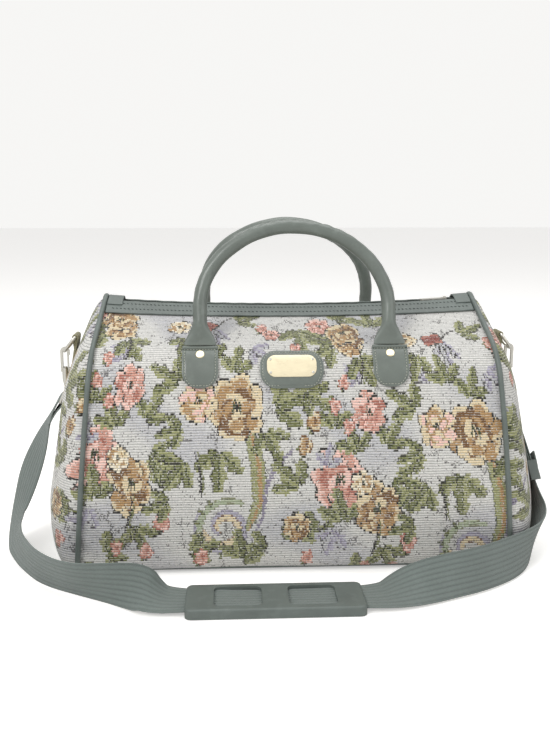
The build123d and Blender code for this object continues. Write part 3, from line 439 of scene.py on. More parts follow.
class Finish:
    """One procedural material. Lengths in its patterns are millimetres."""

    def __init__(self, name, colour, roughness, metallic=0.0, coat=0.0, sheen=0.0):
        self.material = bpy.data.materials.new(name)
        self.material.use_nodes = True
        self.tree = self.material.node_tree
        self.shader = self.tree.nodes["Principled BSDF"]
        self.set("Base Color", (*colour, 1))
        self.set("Roughness", roughness)
        self.set("Metallic", metallic)
        self.set("Coat Weight", coat)
        self.set("Sheen Weight", sheen)

    def set(self, socket, value):
        """Feed a socket of the shader."""
        if isinstance(value, Signal):
            self.tree.links.new(value.socket, self.shader.inputs[socket])
        else:
            self.shader.inputs[socket].default_value = value

    def node(self, kind, settings=None, inputs=None, output=0):
        """Add a node, set it, feed its sockets and return one output."""
        node = self.tree.nodes.new(kind)
        for name, value in (settings or {}).items():
            setattr(node, name, value)
        for name, value in (inputs or {}).items():
            socket = node.inputs[name]
            if isinstance(value, Signal):
                self.tree.links.new(value.socket, socket)
            else:
                socket.default_value = value
        return Signal(self, node.outputs[output])

    def split(self, vector):
        return [self.node("ShaderNodeSeparateXYZ", inputs={0: vector}, output=k) for k in range(3)]

    def join(self, x, y, z=0.0):
        return self.node("ShaderNodeCombineXYZ", inputs={0: x, 1: y, 2: z})

    def laid(self):
        """The piece's own flat coordinates, in millimetres."""
        return self.node("ShaderNodeUVMap", {"uv_map": "laid"})

    def place(self):
        """Object coordinates in millimetres."""
        object_place = self.node("ShaderNodeTexCoord", output=3)
        return self.node("ShaderNodeVectorMath", {"operation": "SCALE"}, {0: object_place, "Scale": 1000.0})

    def noise(self, vector, scale, detail=3.0):
        return self.node("ShaderNodeTexNoise", inputs={"Vector": vector, "Scale": scale, "Detail": detail})

    def cells(self, vector, scale):
        return self.node("ShaderNodeTexVoronoi", inputs={"Vector": vector, "Scale": scale})

    def mix(self, share, first, second):
        inputs = {0: share, 6: first, 7: second}
        return self.node("ShaderNodeMix", {"data_type": "RGBA"}, inputs, output=2)

    def shade(self, colour, amount):
        """A colour made darker or lighter by a factor."""
        start = colour if isinstance(colour, Signal) else colour[:3]
        return self.node("ShaderNodeVectorMath", {"operation": "SCALE"}, {0: start, "Scale": amount})

    def bump(self, height, strength, distance):
        normal = self.node(
            "ShaderNodeBump", inputs={"Height": height, "Strength": strength, "Distance": distance * MM}
        )
        self.set("Normal", normal)


def rgba(colour):
    return (*colour, 1)


def tapestry_finish(colours, sizes):
    """Jacquard cloth. Its rows lie across the bag, its picture comes from the stitch chart, and painted shade
    darkens the dips between the rows.
    """
    cloth = Finish("tapestry", colours.ground, 0.86, sheen=0.15)
    across, up, _ = cloth.split(cloth.laid())
    pitch = sizes.row_pitch / MM
    waver = (cloth.noise(cloth.join(across * 0.05, up * 0.05), 1.0) - 0.5) * 0.9
    row = up / pitch + waver
    inside = row.fraction()
    hill = (inside * math.pi).sine()
    thread = cloth.noise(cloth.join(across * 0.45, row.floor() * 3.7), 1.0, 2.0)
    fuzz = cloth.noise(cloth.join(across * 1.4, up * 1.4), 1.0, 2.0)
    picture = cloth.node("ShaderNodeAttribute", {"attribute_name": "stitch"})
    pale = inside.ramp(0.62, 0.8) * (1 - inside.ramp(0.86, 0.98)) * thread.ramp(0.36, 0.6)
    colour = cloth.mix(pale * 0.62, picture, rgba(colours.pale_thread))
    # Painted shade: the colour is darkened in the dip between each pair of woven rows, deeper where the thread noise
    # is high.
    painted_row_shade = (1 - hill.ramp(0.05, 0.55)) * (thread.ramp(0.2, 0.5) * 0.5 + 0.5)
    colour = cloth.shade(colour, (1.08 - painted_row_shade * 0.62) * (fuzz * 0.5 + 0.75))
    cloth.set("Base Color", colour)
    cloth.bump(hill * 0.8 + thread * 0.5 + fuzz * 0.35, 0.75, 0.7)
    return cloth.material


def vinyl_finish(name, colour, roughness, grain, coat=0.0):
    """Coated cloth or smooth leather with a fine grain and uneven wear."""
    skin = Finish(name, colour, roughness, coat=coat)
    place = skin.place()
    cloudy = skin.noise(place, 0.035)
    fine = skin.noise(place, 0.9, 4.0)
    pores = skin.cells(place, 1.25)
    worn = (skin.noise(place, 0.12, 5.0)).ramp(0.5, 0.72)
    tint = skin.shade(rgba(colour), (cloudy * 0.5 + 0.72) * (fine * 0.16 + 0.94))
    skin.set("Base Color", skin.mix(worn * 0.22, tint, rgba(tuple(min(1, c * 1.55 + 0.02) for c in colour))))
    skin.set("Roughness", fine * 0.18 + cloudy * 0.12 + (roughness - 0.15))
    skin.bump(pores * 0.7 + fine * 0.6, grain, 0.25)
    return skin.material


def webbing_finish(colours, sizes):
    """Ribbed webbing, with long cords and a herringbone weft."""
    tape = Finish("webbing", colours.webbing, 0.78, sheen=0.2)
    across, along, _ = tape.split(tape.laid())
    pitch = sizes.webbing_rib / MM
    rib = (across * (math.pi / pitch)).sine().size()
    twill = ((along * 1.0 + (across * (math.pi / pitch)).sine() * 1.1) * (math.pi / 1.15)).sine().size()
    fuzz = tape.noise(tape.join(across * 0.9, along * 0.35), 1.0, 3.0)
    cloudy = tape.noise(tape.join(across * 0.02, along * 0.03), 1.0)
    # Painted shade in the grooves between the cords and a lighter crown on each cord, mixed with the twill pattern
    # and random tone.
    light = (rib ** 0.6) * 0.34 + twill * 0.2 + fuzz * 0.34 + cloudy * 0.3 + 0.36
    tape.set("Base Color", tape.shade(rgba(colours.webbing), light))
    tape.bump(rib * 1.0 + twill * 0.45 + fuzz * 0.3, 0.8, 0.6)
    return tape.material


def metal_finish(name, colour, roughness, brushed):
    """Plated metal with faint brushing and rubbed places."""
    metal = Finish(name, colour, roughness, metallic=1.0)
    x, y, z = metal.split(metal.place())
    lines = metal.noise(metal.join(x * 0.25, y * 0.25, z * 3.0), 1.0, 3.0)
    patches = metal.noise(metal.join(x, y, z), 0.08, 3.0)
    metal.set("Roughness", lines * 0.16 + patches * 0.12 + (roughness - 0.12))
    metal.set("Base Color", metal.shade(rgba(colour), lines * 0.12 + patches * 0.14 + 0.86))
    metal.bump(lines, brushed, 0.05)
    return metal.material


def woven_finish(name, colour, pitch):
    """Plain woven tape or cotton cord."""
    cloth = Finish(name, colour, 0.85, sheen=0.1)
    x, y, z = cloth.split(cloth.place())
    weave = (x * (math.pi / pitch)).sine().size() + ((y + z) * (math.pi / pitch)).sine().size()
    fuzz = cloth.noise(cloth.join(x, y, z), 1.2, 3.0)
    cloth.set("Base Color", cloth.shade(rgba(colour), weave * 0.2 + fuzz * 0.4 + 0.6))
    cloth.bump(weave + fuzz * 0.5, 0.5, 0.3)
    return cloth.material


def board_finish(colour):
    """Pressed stiffener board, hidden inside the bag."""
    board = Finish("board", colour, 0.7)
    flecks = board.noise(board.place(), 0.6, 5.0)
    board.set("Base Color", board.shade(rgba(colour), flecks * 0.5 + 0.75))
    board.bump(flecks, 0.3, 0.2)
    return board.material


def floor_finish(colour):
    """A plain pale floor that shows white to the camera and keeps the bag's shadow."""
    floor = Finish("floor", colour, 0.9)
    floor.set("Base Color", floor.shade(rgba(colour), floor.noise(floor.place(), 0.004, 2.0) * 0.02 + 0.99))
    seen = floor.node("ShaderNodeLightPath")
    floor.set("Emission Color", floor.mix(seen, (0, 0, 0, 1), rgba(colour)))
    floor.set("Emission Strength", 0.5)
    return floor.material


# The stitch chart of the tapestry


class Chart:
    """Colours of the stitches, painted in millimetres on the flat cloth."""

    def __init__(self, across, up):
        self.across = across
        self.up = up
        self.draw = np.random.default_rng(7)
        self.colour = np.empty((len(across), 3))

    def paint(self, where, colour, strength=1.0):
        share = (np.asarray(where, dtype=float) * strength)[:, None]
        self.colour = self.colour * (1 - share) + np.asarray(colour) * share

    def local(self, x, y, angle):
        c, s = math.cos(math.radians(angle)), math.sin(math.radians(angle))
        dx, dy = self.across - x, self.up - y
        return dx * c + dy * s, -dx * s + dy * c

    def near(self, x, y, reach):
        """Whether any stitch lies within reach of a point."""
        return bool(np.any((np.abs(self.across - x) < reach) & (np.abs(self.up - y) < reach)))

    def blob(self, x, y, wide, tall, angle, colour, rim=None, outline=None, lobes=5, wobble=0.1):
        """A rounded patch with a paler rim and a broken outline."""
        a, b = self.local(x, y, angle)
        around = np.arctan2(b / tall, a / wide)
        distance = np.hypot(a / wide, b / tall) / (1 + wobble * np.sin(lobes * around + x))
        if outline is not None:
            edge = 1 + 1.1 / min(wide, tall)
            self.paint((distance < edge) & (np.sin(3 * around + y) > -0.75), outline)
        self.paint(distance < 1, colour)
        if rim is not None:
            self.paint((distance < 1) & (distance > 0.7) & (np.sin(2 * around + x) > -0.5), rim)

    def leaf(self, x, y, length, width, angle, light, dark, vein):
        """A lobed leaf with one light half, one dark half and a vein."""
        a, b = self.local(x, y, angle)
        t = a / length
        inside = np.abs(t) < 0.5
        profile = np.sqrt(np.clip(1 - (2 * t) ** 2, 0, 1)) * (0.82 + 0.2 * np.sin(17 * t + x)) * width / 2
        profile = np.where(inside, profile, 0)
        self.paint(inside & (np.abs(b) < profile + 1.0) & (b < 0.2 * width), vein)
        self.paint(inside & (np.abs(b) < profile + 1.3) & (b < -0.1 * width), INK, 0.8)
        self.paint(inside & (np.abs(b) < profile) & (b >= 0), light)
        self.paint(inside & (np.abs(b) < profile) & (b < 0), dark)
        self.paint(inside & (np.abs(b) < 0.65) & (t < 0.38), vein)
        ribs = np.abs(np.sin((a - np.abs(b) * 0.8) * math.pi / 5.5)) < 0.2
        self.paint(inside & ribs & (np.abs(b) < profile * 0.85), vein, 0.45)

    def stroke(self, points, width, colour, outline=None, taper=True):
        """A band of thread along a bent line."""
        points = np.asarray(points, dtype=float)
        least = np.full(len(self.across), 1e9)
        place = np.zeros(len(self.across))
        for k in range(len(points) - 1):
            start, step = points[k], points[k + 1] - points[k]
            t = ((self.across - start[0]) * step[0] + (self.up - start[1]) * step[1]) / (step @ step)
            t = np.clip(t, 0, 1)
            gap = np.hypot(self.across - start[0] - t * step[0], self.up - start[1] - t * step[1])
            place = np.where(gap < least, (k + t) / (len(points) - 1), place)
            least = np.minimum(least, gap)
        half = width / 2 * (np.sin(np.clip(place * 0.85 + 0.15, 0, 1) * math.pi) ** 0.6 if taper else 1)
        if outline is not None:
            self.paint(least < half + 0.8, outline, 0.85)
        self.paint(least < half, colour)


def curl(x, y, start, end, turns, angle, count=26):
    """Points of a spiral that winds in from one radius to another."""
    share = np.linspace(0, 1, count)
    radius = start + (end - start) * share
    around = math.radians(angle) + share * turns * 2 * math.pi
    return np.stack([x + radius * np.cos(around), y + radius * np.sin(around)], -1)


GREEN_LIGHT = linear(146, 148, 104)
GREEN_MID = linear(110, 114, 74)
GREEN_DARK = linear(62, 68, 44)
SAGE = linear(160, 170, 142)
INK = linear(44, 42, 40)
CORAL = linear(200, 146, 130)
CORAL_PALE = linear(232, 192, 180)
CORAL_DEEP = linear(166, 106, 92)
CREAM = linear(232, 222, 200)
TAN = linear(168, 134, 92)
TAN_PALE = linear(216, 198, 162)
TAN_DEEP = linear(112, 82, 54)
RUSSET = linear(124, 60, 52)
LILAC = linear(166, 162, 178)
LILAC_DEEP = linear(134, 128, 146)
GROUND = linear(204, 203, 199)
GROUND_COOL = linear(180, 180, 184)

PINK_TONES = (CORAL, CORAL_PALE, CORAL_DEEP)
TAN_TONES = (TAN, TAN_PALE, TAN_DEEP)
ROSE_TONES = {
    "pink": PINK_TONES,
    "coral": PINK_TONES,
    "tan": TAN_TONES,
    "mixed": (CORAL_PALE, TAN_PALE, TAN),
    "cream": (TAN_PALE, CREAM, TAN),
}


def draw_rose(chart, x, y, wide, tall, tones, turn=0.0):
    """A full rose, of outer petals, a cup of inner petals and a dark heart."""
    mid, pale, deep = tones
    for k in range(6):
        angle = turn + 60 * k
        c, s = math.cos(math.radians(angle)), math.sin(math.radians(angle))
        tone = (mid, pale, deep)[k % 3] if k % 2 else mid
        px, py = x + 0.56 * wide * c, y + 0.56 * tall * s
        chart.blob(px, py, 0.5 * wide, 0.46 * tall, angle * 0.3, tone, pale, INK, 3, 0.14)
    chart.blob(x, y, 0.6 * wide, 0.62 * tall, turn, mid, deep, None, 5, 0.08)
    for k in range(4):
        angle = turn + 45 + 90 * k
        c, s = math.cos(math.radians(angle)), math.sin(math.radians(angle))
        px, py = x + 0.27 * wide * c, y + 0.27 * tall * s
        chart.blob(px, py, 0.3 * wide, 0.3 * tall, angle, pale if k % 2 else mid, deep)
    for k in (-1, 0, 1):
        heart = GREEN_DARK if k else INK
        chart.blob(x + 0.13 * wide * k, y + 0.04 * tall, 0.05 * wide, 0.2 * tall, 6 * k, heart)
    chart.blob(x, y - 0.5 * tall, 0.32 * wide, 0.2 * tall, 0, mid, pale, deep, 2, 0.1)


def draw_bud(chart, x, y, size, tones, angle=80):
    """A closed bud with one sepal below it."""
    chart.leaf(x - size * 0.5, y - size * 0.7, size * 1.8, size * 0.9, angle + 30, GREEN_MID, GREEN_DARK, INK)
    chart.blob(x, y, size * 0.72, size, angle - 80, tones[0], tones[1], tones[2], 3, 0.12)
    chart.blob(x + size * 0.15, y + size * 0.1, size * 0.2, size * 0.5, 0, tones[2])


def draw_spray(chart, x, y, size, angle, tones=(GREEN_LIGHT, GREEN_MID, GREEN_DARK)):
    """Three leaves that fan out from one stem."""
    light, mid, dark = tones
    for turn, length in ((-52, 0.8), (48, 0.85), (0, 1.1)):
        c, s = math.cos(math.radians(angle + turn)), math.sin(math.radians(angle + turn))
        reach = size * length * 0.55
        chart.leaf(x + c * reach, y + s * reach, size * length, size * 0.46, angle + turn, light, mid, dark)


def draw_lily(chart, x, y, size):
    """A hanging flower with a russet cap and long grey petals."""
    for turn, length in ((-28, 1.1), (0, 1.35), (26, 1.0)):
        angle = -80 + turn
        c, s = math.cos(math.radians(angle)), math.sin(math.radians(angle))
        px, py = x + c * size * length * 0.55, y + s * size * length * 0.55
        chart.leaf(px, py, size * length, size * 0.36, angle, LILAC, GROUND_COOL, INK)
    chart.blob(x - size * 0.3, y + size * 0.1, size * 0.42, size * 0.32, 20, RUSSET, CORAL_DEEP, INK, 4, 0.15)
    chart.stroke([(x, y), (x + size * 0.5, y + size * 0.6), (x + size * 1.2, y + size * 0.9)], 1.6, INK)


def draw_plume(chart, x, y, size):
    """A curled plume, with a feathered inner edge."""
    chart.stroke(curl(x, y, size, 0.25 * size, 1.25, 150), 0.3 * size, LILAC, LILAC_DEEP)
    chart.stroke(curl(x, y, 0.72 * size, 0.2 * size, 1.1, 190), 0.2 * size, TAN_PALE, TAN_DEEP)
    chart.stroke(curl(x + 1, y - 2, 1.12 * size, 0.8 * size, 0.5, 60), 0.2 * size, SAGE, GREEN_MID)
    for k in range(7):
        angle = 120 + 24 * k
        c, s = math.cos(math.radians(angle)), math.sin(math.radians(angle))
        foot = (x + 0.95 * size * c, y + 0.95 * size * s)
        tip = (foot[0] + 0.2 * size * c, foot[1] + 0.25 * size * s)
        chart.stroke([foot, tip], 2.0, GREEN_MID, GREEN_DARK)


# Weave and repeat of the chart, in millimetres
ROW_PITCH = 2.4
STITCH_WIDTH = 1.25
REPEAT_ACROSS = 235.0
REPEAT_DROP = -26.0
REPEAT_UP = 300.0

# Kind, place across and up, size and turn of each motif of one repeat
MOTIFS = [
    ("plume", -69, 44, 27, 0),
    ("ribbon", -40, 90, 60, 0),
    ("spray", -134, 88, 26, 60), ("spray", -192, 74, 28, 100), ("spray", -152, 48, 24, -70),
    ("spray", -176, 141, 24, 110), ("spray", -148, 147, 24, 60), ("spray", -22, 158, 36, 20),
    ("spray", -75, 118, 32, -90), ("spray", -31, 136, 26, -60), ("spray", 37, 138, 24, 95),
    ("spray", 3, 84, 28, 140), ("spray", -8, 52, 24, -40), ("spray", -112, 140, 22, 200),
    ("spray", -108, 108, 26, 235), ("spray", 25, 219, 26, 100), ("spray", 3, 246, 30, -80),
    ("spray", -152, 276, 28, 100), ("spray", -196, 242, 26, 210), ("spray", -172, 230, 26, -60),
    ("spray", -30, 20, 26, 170), ("spray", -180, 20, 24, 40), ("spray", -62, 190, 24, 80),
    ("spray", -100, 20, 24, 20), ("spray", 46, 262, 26, 60), ("spray", 20, 30, 26, 110),
    ("pink", 41, 88, 23, 33), ("pink", -164, 178, 14, 21), ("tan", -158, 86, 18, 30),
    ("cream", -172, 112, 10, 12), ("tan", -59, 157, 26, 31), ("mixed", -97, 163, 18, 19),
    ("tan", -184, 264, 18, 17), ("tan", 55, 222, 16, 17), ("coral", 27, 252, 12, 15),
    ("lily", -84, 250, 26, 0), ("bud", -128, 52, 9, 0), ("bud", -142, 22, 7, 0),
    ("bud", -170, 26, 6, 0), ("bud", -188, 206, 6, 0), ("bud", -197, 184, 6, 0),
    ("bud", -184, 165, 6, 0), ("tanbud", 17, 144, 8, 0), ("tanbud", 8, 122, 8, 0),
    ("bud", -33, 248, 7, 0), ("bud", 0, 214, 6, 0), ("tan", 0, 44, 12, 15),
    ("bud", -90, 14, 8, 0), ("bud", 10, 12, 7, 0), ("lilacleaf", -118, 210, 24, 40),
    ("lilacleaf", -44, 214, 26, -30), ("lilacleaf", 60, 178, 24, 120), ("lilacleaf", -206, 128, 24, 80),
    ("lilacleaf", 36, 40, 30, 250), ("cream", -120, 252, 12, 10),
    ("spray", -116, 180, 28, 150), ("spray", -84, 204, 24, 110), ("spray", -140, 118, 22, -20),
    ("spray", 10, 170, 24, -30), ("spray", -52, 12, 26, 100), ("spray", -122, 70, 22, 200),
    ("spray", -60, 262, 24, 30), ("spray", -112, 232, 22, -100), ("coral", -24, 236, 9, 9),
    ("stem", -160, 60, 40, 0), ("stem", -95, 96, 44, 20), ("stem", 30, 56, 40, -15), ("stem", -170, 222, 34, 10),
]


def draw_motif(chart, kind, x, y, size, turn):
    """Draw one motif by its kind. For the flowers, turn is the height."""
    if kind == "spray":
        draw_spray(chart, x, y, size * 1.08, turn)
    elif kind == "lilacleaf":
        draw_spray(chart, x, y, size * 0.8, turn, (LILAC, GROUND_COOL, LILAC_DEEP))
    elif kind in ("bud", "tanbud"):
        draw_bud(chart, x, y, size, PINK_TONES if kind == "bud" else TAN_TONES)
    elif kind == "lily":
        draw_lily(chart, x, y, size)
    elif kind == "stem":
        c, s = math.cos(math.radians(turn + 80)), math.sin(math.radians(turn + 80))
        bend = [(x - c * size / 2, y - s * size / 2), (x + 2.5, y), (x + c * size / 2, y + s * size / 2)]
        chart.stroke(bend, 2.2, INK, None)
        chart.stroke([(px + 2.2, py) for px, py in bend], 1.6, GREEN_MID, None)
    elif kind == "plume":
        draw_plume(chart, x, y, size)
    elif kind == "ribbon":
        long_leaf = [(x - 6, y + 44), (x + 2, y + 14), (x + 4, y - 20), (x - 8, y - 50)]
        chart.stroke(long_leaf, 13, GREEN_LIGHT, GREEN_DARK)
        chart.stroke([(px + 1.5, py) for px, py in long_leaf], 4, TAN, None)
        tendril = [(x + 36, y + 28), (x + 20, y + 14), (x + 10, y - 8), (x + 8, y - 34), (x - 4, y - 62)]
        chart.stroke(tendril, 4.2, LILAC_DEEP, None)
    else:
        draw_rose(chart, x, y, size, turn, ROSE_TONES[kind], 20 + x)


def stitch_colours(across, up):
    """Colour of each stitch of the tapestry, for places on the flat cloth."""
    row = np.floor(up / ROW_PITCH)
    steps = np.floor(across / STITCH_WIDTH + 0.5 * (row % 2))
    chart = Chart(steps * STITCH_WIDTH + 0.4 * np.sin(row * 2.1), row * ROW_PITCH + ROW_PITCH / 2)
    x, y = chart.across, chart.up
    clouds = np.sin(x / 31 + 1.3 * np.sin(y / 23)) + np.sin(y / 19 - 1.1 * np.sin(x / 27 + 2))
    chart.colour[:] = GROUND
    chart.paint(np.clip(clouds - 0.35, 0, 1), GROUND_COOL, 0.8)
    veins = np.sin(x / 8.5 + 2.2 * np.sin(y / 13)) + np.sin(y / 6.1 + 1.7 * np.sin(x / 17))
    specks = chart.draw.random(len(x))
    chart.paint((np.abs(veins) < 0.1) & (specks < 0.5), INK, 0.7)
    for level in (-1, 0, 1, 2):
        for step in (-2, -1, 0, 1, 2, 3):
            for kind, mx, my, size, turn in MOTIFS:
                px = mx + step * REPEAT_ACROSS
                py = my + step * REPEAT_DROP + level * REPEAT_UP
                if chart.near(px, py, 2.6 * size + 20 if kind == "ribbon" else 1.6 * max(size, 20)):
                    draw_motif(chart, kind, px, py, size, turn)
    shade = 1 + (chart.draw.random((len(x), 1)) - 0.5) * 0.26
    strays = chart.draw.random(len(x))
    chart.paint(strays < 0.035, GROUND, 0.8)
    chart.paint(strays > 0.975, INK, 0.6)
    return np.clip(chart.colour * shade, 0, 1)


# Cloth panels


def cloth_lift(across, run):
    """How far the cloth stands off the frame's face: a soft pillow low down and small puckers at the ends."""
    pillow = 2.2 * np.sin(math.pi * np.clip(run / 180, 0, 1)) * (1 - np.abs(across / PANEL_HALF_LENGTH) ** 3)
    pillow *= 1 - ease(150, 182, run)
    edge = PANEL_HALF_LENGTH - np.abs(across)
    pucker = 0.7 * np.exp(-edge / 14) * np.sin(run / 3.1 + 0.3 * across)
    drift = 0.5 * np.sin(across / 29 + 0.8 * np.sin(run / 37)) * np.sin(run / 41 + 1)
    return pillow + (pucker + drift) * (1 - ease(160, 190, run)) - 0.25 * ease(150, 182, run)


def panel_surface(facing):
    """Surface of the front or back panel. Facing is -1 at the front."""

    def surface(across, along):
        share = (2 * across - 1) * -facing
        heading = top_heading_at(share)
        run = along * (lip_run(share) - FACING_WIDTH + FACING_OVERLAP)
        depth, height = wall(run, heading, cloth_lift(share * PANEL_HALF_LENGTH, run))
        return leaned(share, PANEL_HALF_LENGTH, facing * depth, height)

    return surface


def panel_laid(facing):
    """Where the front or back panel lies on the chart."""

    def laid(across, along):
        share = 2 * across - 1
        run = along * (lip_run(share) - FACING_WIDTH + FACING_OVERLAP)
        return share * PANEL_HALF_LENGTH + (0 if facing < 0 else BACK_CHART_SHIFT), run

    return laid


def end_outline(count, lift=0.0, seat=0.0):
    """Closed outline of the bag's end as depth and height, evenly spaced."""
    top_run = SHOULDER_START + SHOULDER_RADIUS * math.radians(END_HEADING - SIDE_END)
    runs = np.linspace(0, top_run, 400)
    depth, height = wall(runs, END_HEADING, lift)
    shoulder_depth = SHOULDER_CENTRE[0] + outward(END_HEADING)[0] * SHOULDER_RADIUS
    slope = shoulder_depth / -math.cos(math.radians(END_HEADING))
    slope -= RIDGE_RADIUS * math.tan(math.radians(180 - END_HEADING))
    slope_depth, slope_height = wall(top_run + np.linspace(0.5, slope, 60), END_HEADING, lift)
    angle = np.radians(np.linspace(END_HEADING, 180, 30)[1:])
    foot = (slope_depth[-1], slope_height[-1])
    ridge = RIDGE_RADIUS + lift
    ridge_centre_depth = foot[0] - outward(END_HEADING)[0] * ridge
    ridge_centre_height = foot[1] - outward(END_HEADING)[1] * ridge
    ridge_depth = ridge_centre_depth + np.sin(angle) * ridge
    ridge_height = ridge_centre_height - np.cos(angle) * ridge
    low = np.radians(np.linspace(0, BASE_SEAM_HEADING, 20)[:-1])
    low_depth = CORNER_CENTRE[0] + np.sin(low) * (CORNER_RADIUS + lift)
    low_height = CORNER_CENTRE[1] - np.cos(low) * (CORNER_RADIUS + lift)
    base = np.linspace(0, CORNER_CENTRE[0] - 1, 30)
    half_depth = np.concatenate([base, low_depth, depth, slope_depth, ridge_depth])
    half_height = np.concatenate([base * 0 - lift, low_height, height, slope_height, ridge_height])
    half_height = np.maximum(half_height, seat)
    line = np.stack(
        [
            np.concatenate([half_depth, -half_depth[::-1][1:]]),
            np.concatenate([half_height, half_height[::-1][1:]]),
        ],
        -1,
    )
    steps = np.concatenate([[0], np.cumsum(np.hypot(*np.diff(line, axis=0).T))])
    at = np.linspace(0, steps[-1], count)
    return np.interp(at, steps, line[:, 0]), np.interp(at, steps, line[:, 1]), steps[-1]


def bulge_share(inset):
    """How far out the domed end stands, as a share of its bulge, at an inset from the seam."""
    rim = (np.clip(inset, 0, END_FLAT_INSET) / END_FLAT_INSET) ** 0.47
    crown = 0.06 * (1 - np.exp(-np.maximum(inset - END_FLAT_INSET, 0) / 6))
    return rim + crown


def end_surface(side):
    """Surface of a domed end, and where it lies on the chart. Side is -1 at the left."""
    depths, heights, _ = end_outline(OUTLINE_POINTS)
    half_width = SIDE_CENTRE[0] + SIDE_RADIUS

    def scaled(across, along):
        at = across * (OUTLINE_POINTS - 1)
        depth = np.interp(at, np.arange(OUTLINE_POINTS), depths)
        height = np.interp(at, np.arange(OUTLINE_POINTS), heights)
        inset = along**1.6 * half_width
        scale = 1 - inset / half_width
        return depth * scale, END_CENTRE_HEIGHT + (height - END_CENTRE_HEIGHT) * scale, inset

    def surface(across, along):
        depth, height, inset = scaled(across, along)
        fraction = bulge_share(inset)
        dent = 1.4 * np.sin(height / 33 + 1.2 * side) * np.sin(depth / 28) * ease(4, 30, inset)
        lean = np.radians(SEAM_LEAN + fraction * (END_LEAN - SEAM_LEAN))
        x = SEAM_HALF_LENGTH + END_GAP + fraction * END_BULGE - dent - 0.8 * ease(4, 30, inset)
        return side * (x - np.sin(lean) * height), depth * side, np.cos(lean) * height

    def laid(across, along):
        depth, height, _ = scaled(across, along)
        return side * (PANEL_HALF_LENGTH + END_CHART_SHIFT) + depth, height * END_CHART_STRETCH

    return surface, laid


def tube_surface(line, across_way, radius):
    """Surface round a line of points. radius gives two half widths for a turn and a share along."""

    def surface(across, along):
        places, headings, _ = along_line(line, along)
        sides = unit(np.cross(headings, across_way))
        ups = np.cross(sides, headings)
        turn = across * 2 * math.pi
        wide, tall = radius(turn, along)
        ring = sides * (np.cos(turn) * wide)[:, None] + ups * (np.sin(turn) * tall)[:, None]
        return (places + ring).T

    return surface


def close_ends(piece):
    """Fill the open ends of a tube."""
    make_active(piece)
    bpy.ops.object.mode_set(mode="EDIT")
    bpy.ops.mesh.select_all(action="DESELECT")
    bpy.ops.mesh.select_mode(type="EDGE")
    bpy.ops.mesh.select_non_manifold()
    bpy.ops.mesh.edge_face_add()
    bpy.ops.mesh.select_all(action="SELECT")
    bpy.ops.mesh.normals_make_consistent(inside=False)
    bpy.ops.object.mode_set(mode="OBJECT")


def strip_section(width, thickness, crown, count=SECTION_STEPS):
    """Closed section of a soft strip: shares of its width and its height, all round."""
    turn = np.linspace(0, 2 * math.pi, count + 1)
    power = 0.25
    across = np.sign(np.cos(turn)) * np.abs(np.cos(turn)) ** power
    up = np.sign(np.sin(turn)) * np.abs(np.sin(turn)) ** power
    rise = np.where(up > 0, crown * (1 - across**2), 0)
    return across * width / 2, up * thickness / 2 + rise


# Properties


class CarpetBagSizes(bpy.types.PropertyGroup):
    """Sizes of the patterns that a user would change."""

    row_pitch: bpy.props.FloatProperty(
        name="Tapestry row", description="Height of one woven row of the tapestry", default=0.0024, unit="LENGTH"
    )
    webbing_rib: bpy.props.FloatProperty(
        name="Webbing rib", description="Width of one cord of the webbing", default=0.0045, unit="LENGTH"
    )
    stitch_pitch: bpy.props.FloatProperty(
        name="Stitch", description="Distance from one sewn stitch to the next", default=0.0038, unit="LENGTH"
    )
    thread_width: bpy.props.FloatProperty(
        name="Thread", description="Width of the sewing thread", default=0.0007, unit="LENGTH"
    )


def colour_property(name, description, value):
    return bpy.props.FloatVectorProperty(
        name=name, description=description, default=value, subtype="COLOR", min=0, max=1
    )


class CarpetBagColours(bpy.types.PropertyGroup):
    """Main colours of the bag."""

    ground: colour_property("Ground", "Pale ground of the tapestry", GROUND)
    pale_thread: colour_property("Pale thread", "Light weft between the rows", linear(224, 220, 210))
    vinyl: colour_property("Vinyl", "Coated cloth of the zip band, piping and base", linear(96, 104, 100))
    leather: colour_property("Leather", "Leather of the handles, tabs and badge", linear(102, 109, 103))
    webbing: colour_property("Webbing", "Webbing of the shoulder strap", linear(104, 113, 109))
    thread: colour_property("Thread", "Sewing thread", linear(74, 82, 79))
    nickel: colour_property("Nickel", "Plating of the rings, hooks and zip", linear(202, 200, 192))
    gold: colour_property("Pale gold", "Plating of the rivets and plate", linear(240, 228, 196))
    floor: colour_property("Floor", "Pale floor under the bag", linear(242, 241, 239))


def sizes():
    return bpy.context.scene.carpet_bag_sizes


def colours():
    return bpy.context.scene.carpet_bag_colours


FINISHES = {}


def finish(name):
    """A finish by name, made when it is first asked for."""
    if name not in FINISHES:
        c = colours()
        makers = {
            "tapestry": lambda: tapestry_finish(c, sizes()),
            "vinyl": lambda: vinyl_finish("grey green vinyl", tuple(c.vinyl), 0.48, 0.35),
            "leather": lambda: vinyl_finish("grey green leather", tuple(c.leather), 0.36, 0.22, 0.12),
            "moulding": lambda: vinyl_finish("moulded pad", tuple(c.vinyl), 0.5, 0.2),
            "webbing": lambda: webbing_finish(c, sizes()),
            "thread": lambda: woven_finish("sewing thread", tuple(c.thread), 0.5),
            "pale thread": lambda: woven_finish("pale sewing thread", linear(166, 170, 158), 0.5),
            "ring cloth": lambda: woven_finish("ring tab cloth", linear(134, 130, 104), 1.6),
            "zip tape": lambda: woven_finish("zip tape", linear(88, 96, 90), 0.9),
            "cord core": lambda: woven_finish("cord core", linear(216, 208, 190), 1.5),
            "nickel": lambda: metal_finish("nickel", tuple(c.nickel), 0.3, 0.15),
            "gold": lambda: metal_finish("pale gold", tuple(c.gold), 0.28, 0.25),
            "board": lambda: board_finish(linear(122, 118, 108)),
        }
        FINISHES[name] = makers[name]()
    return FINISHES[name]


# Operators


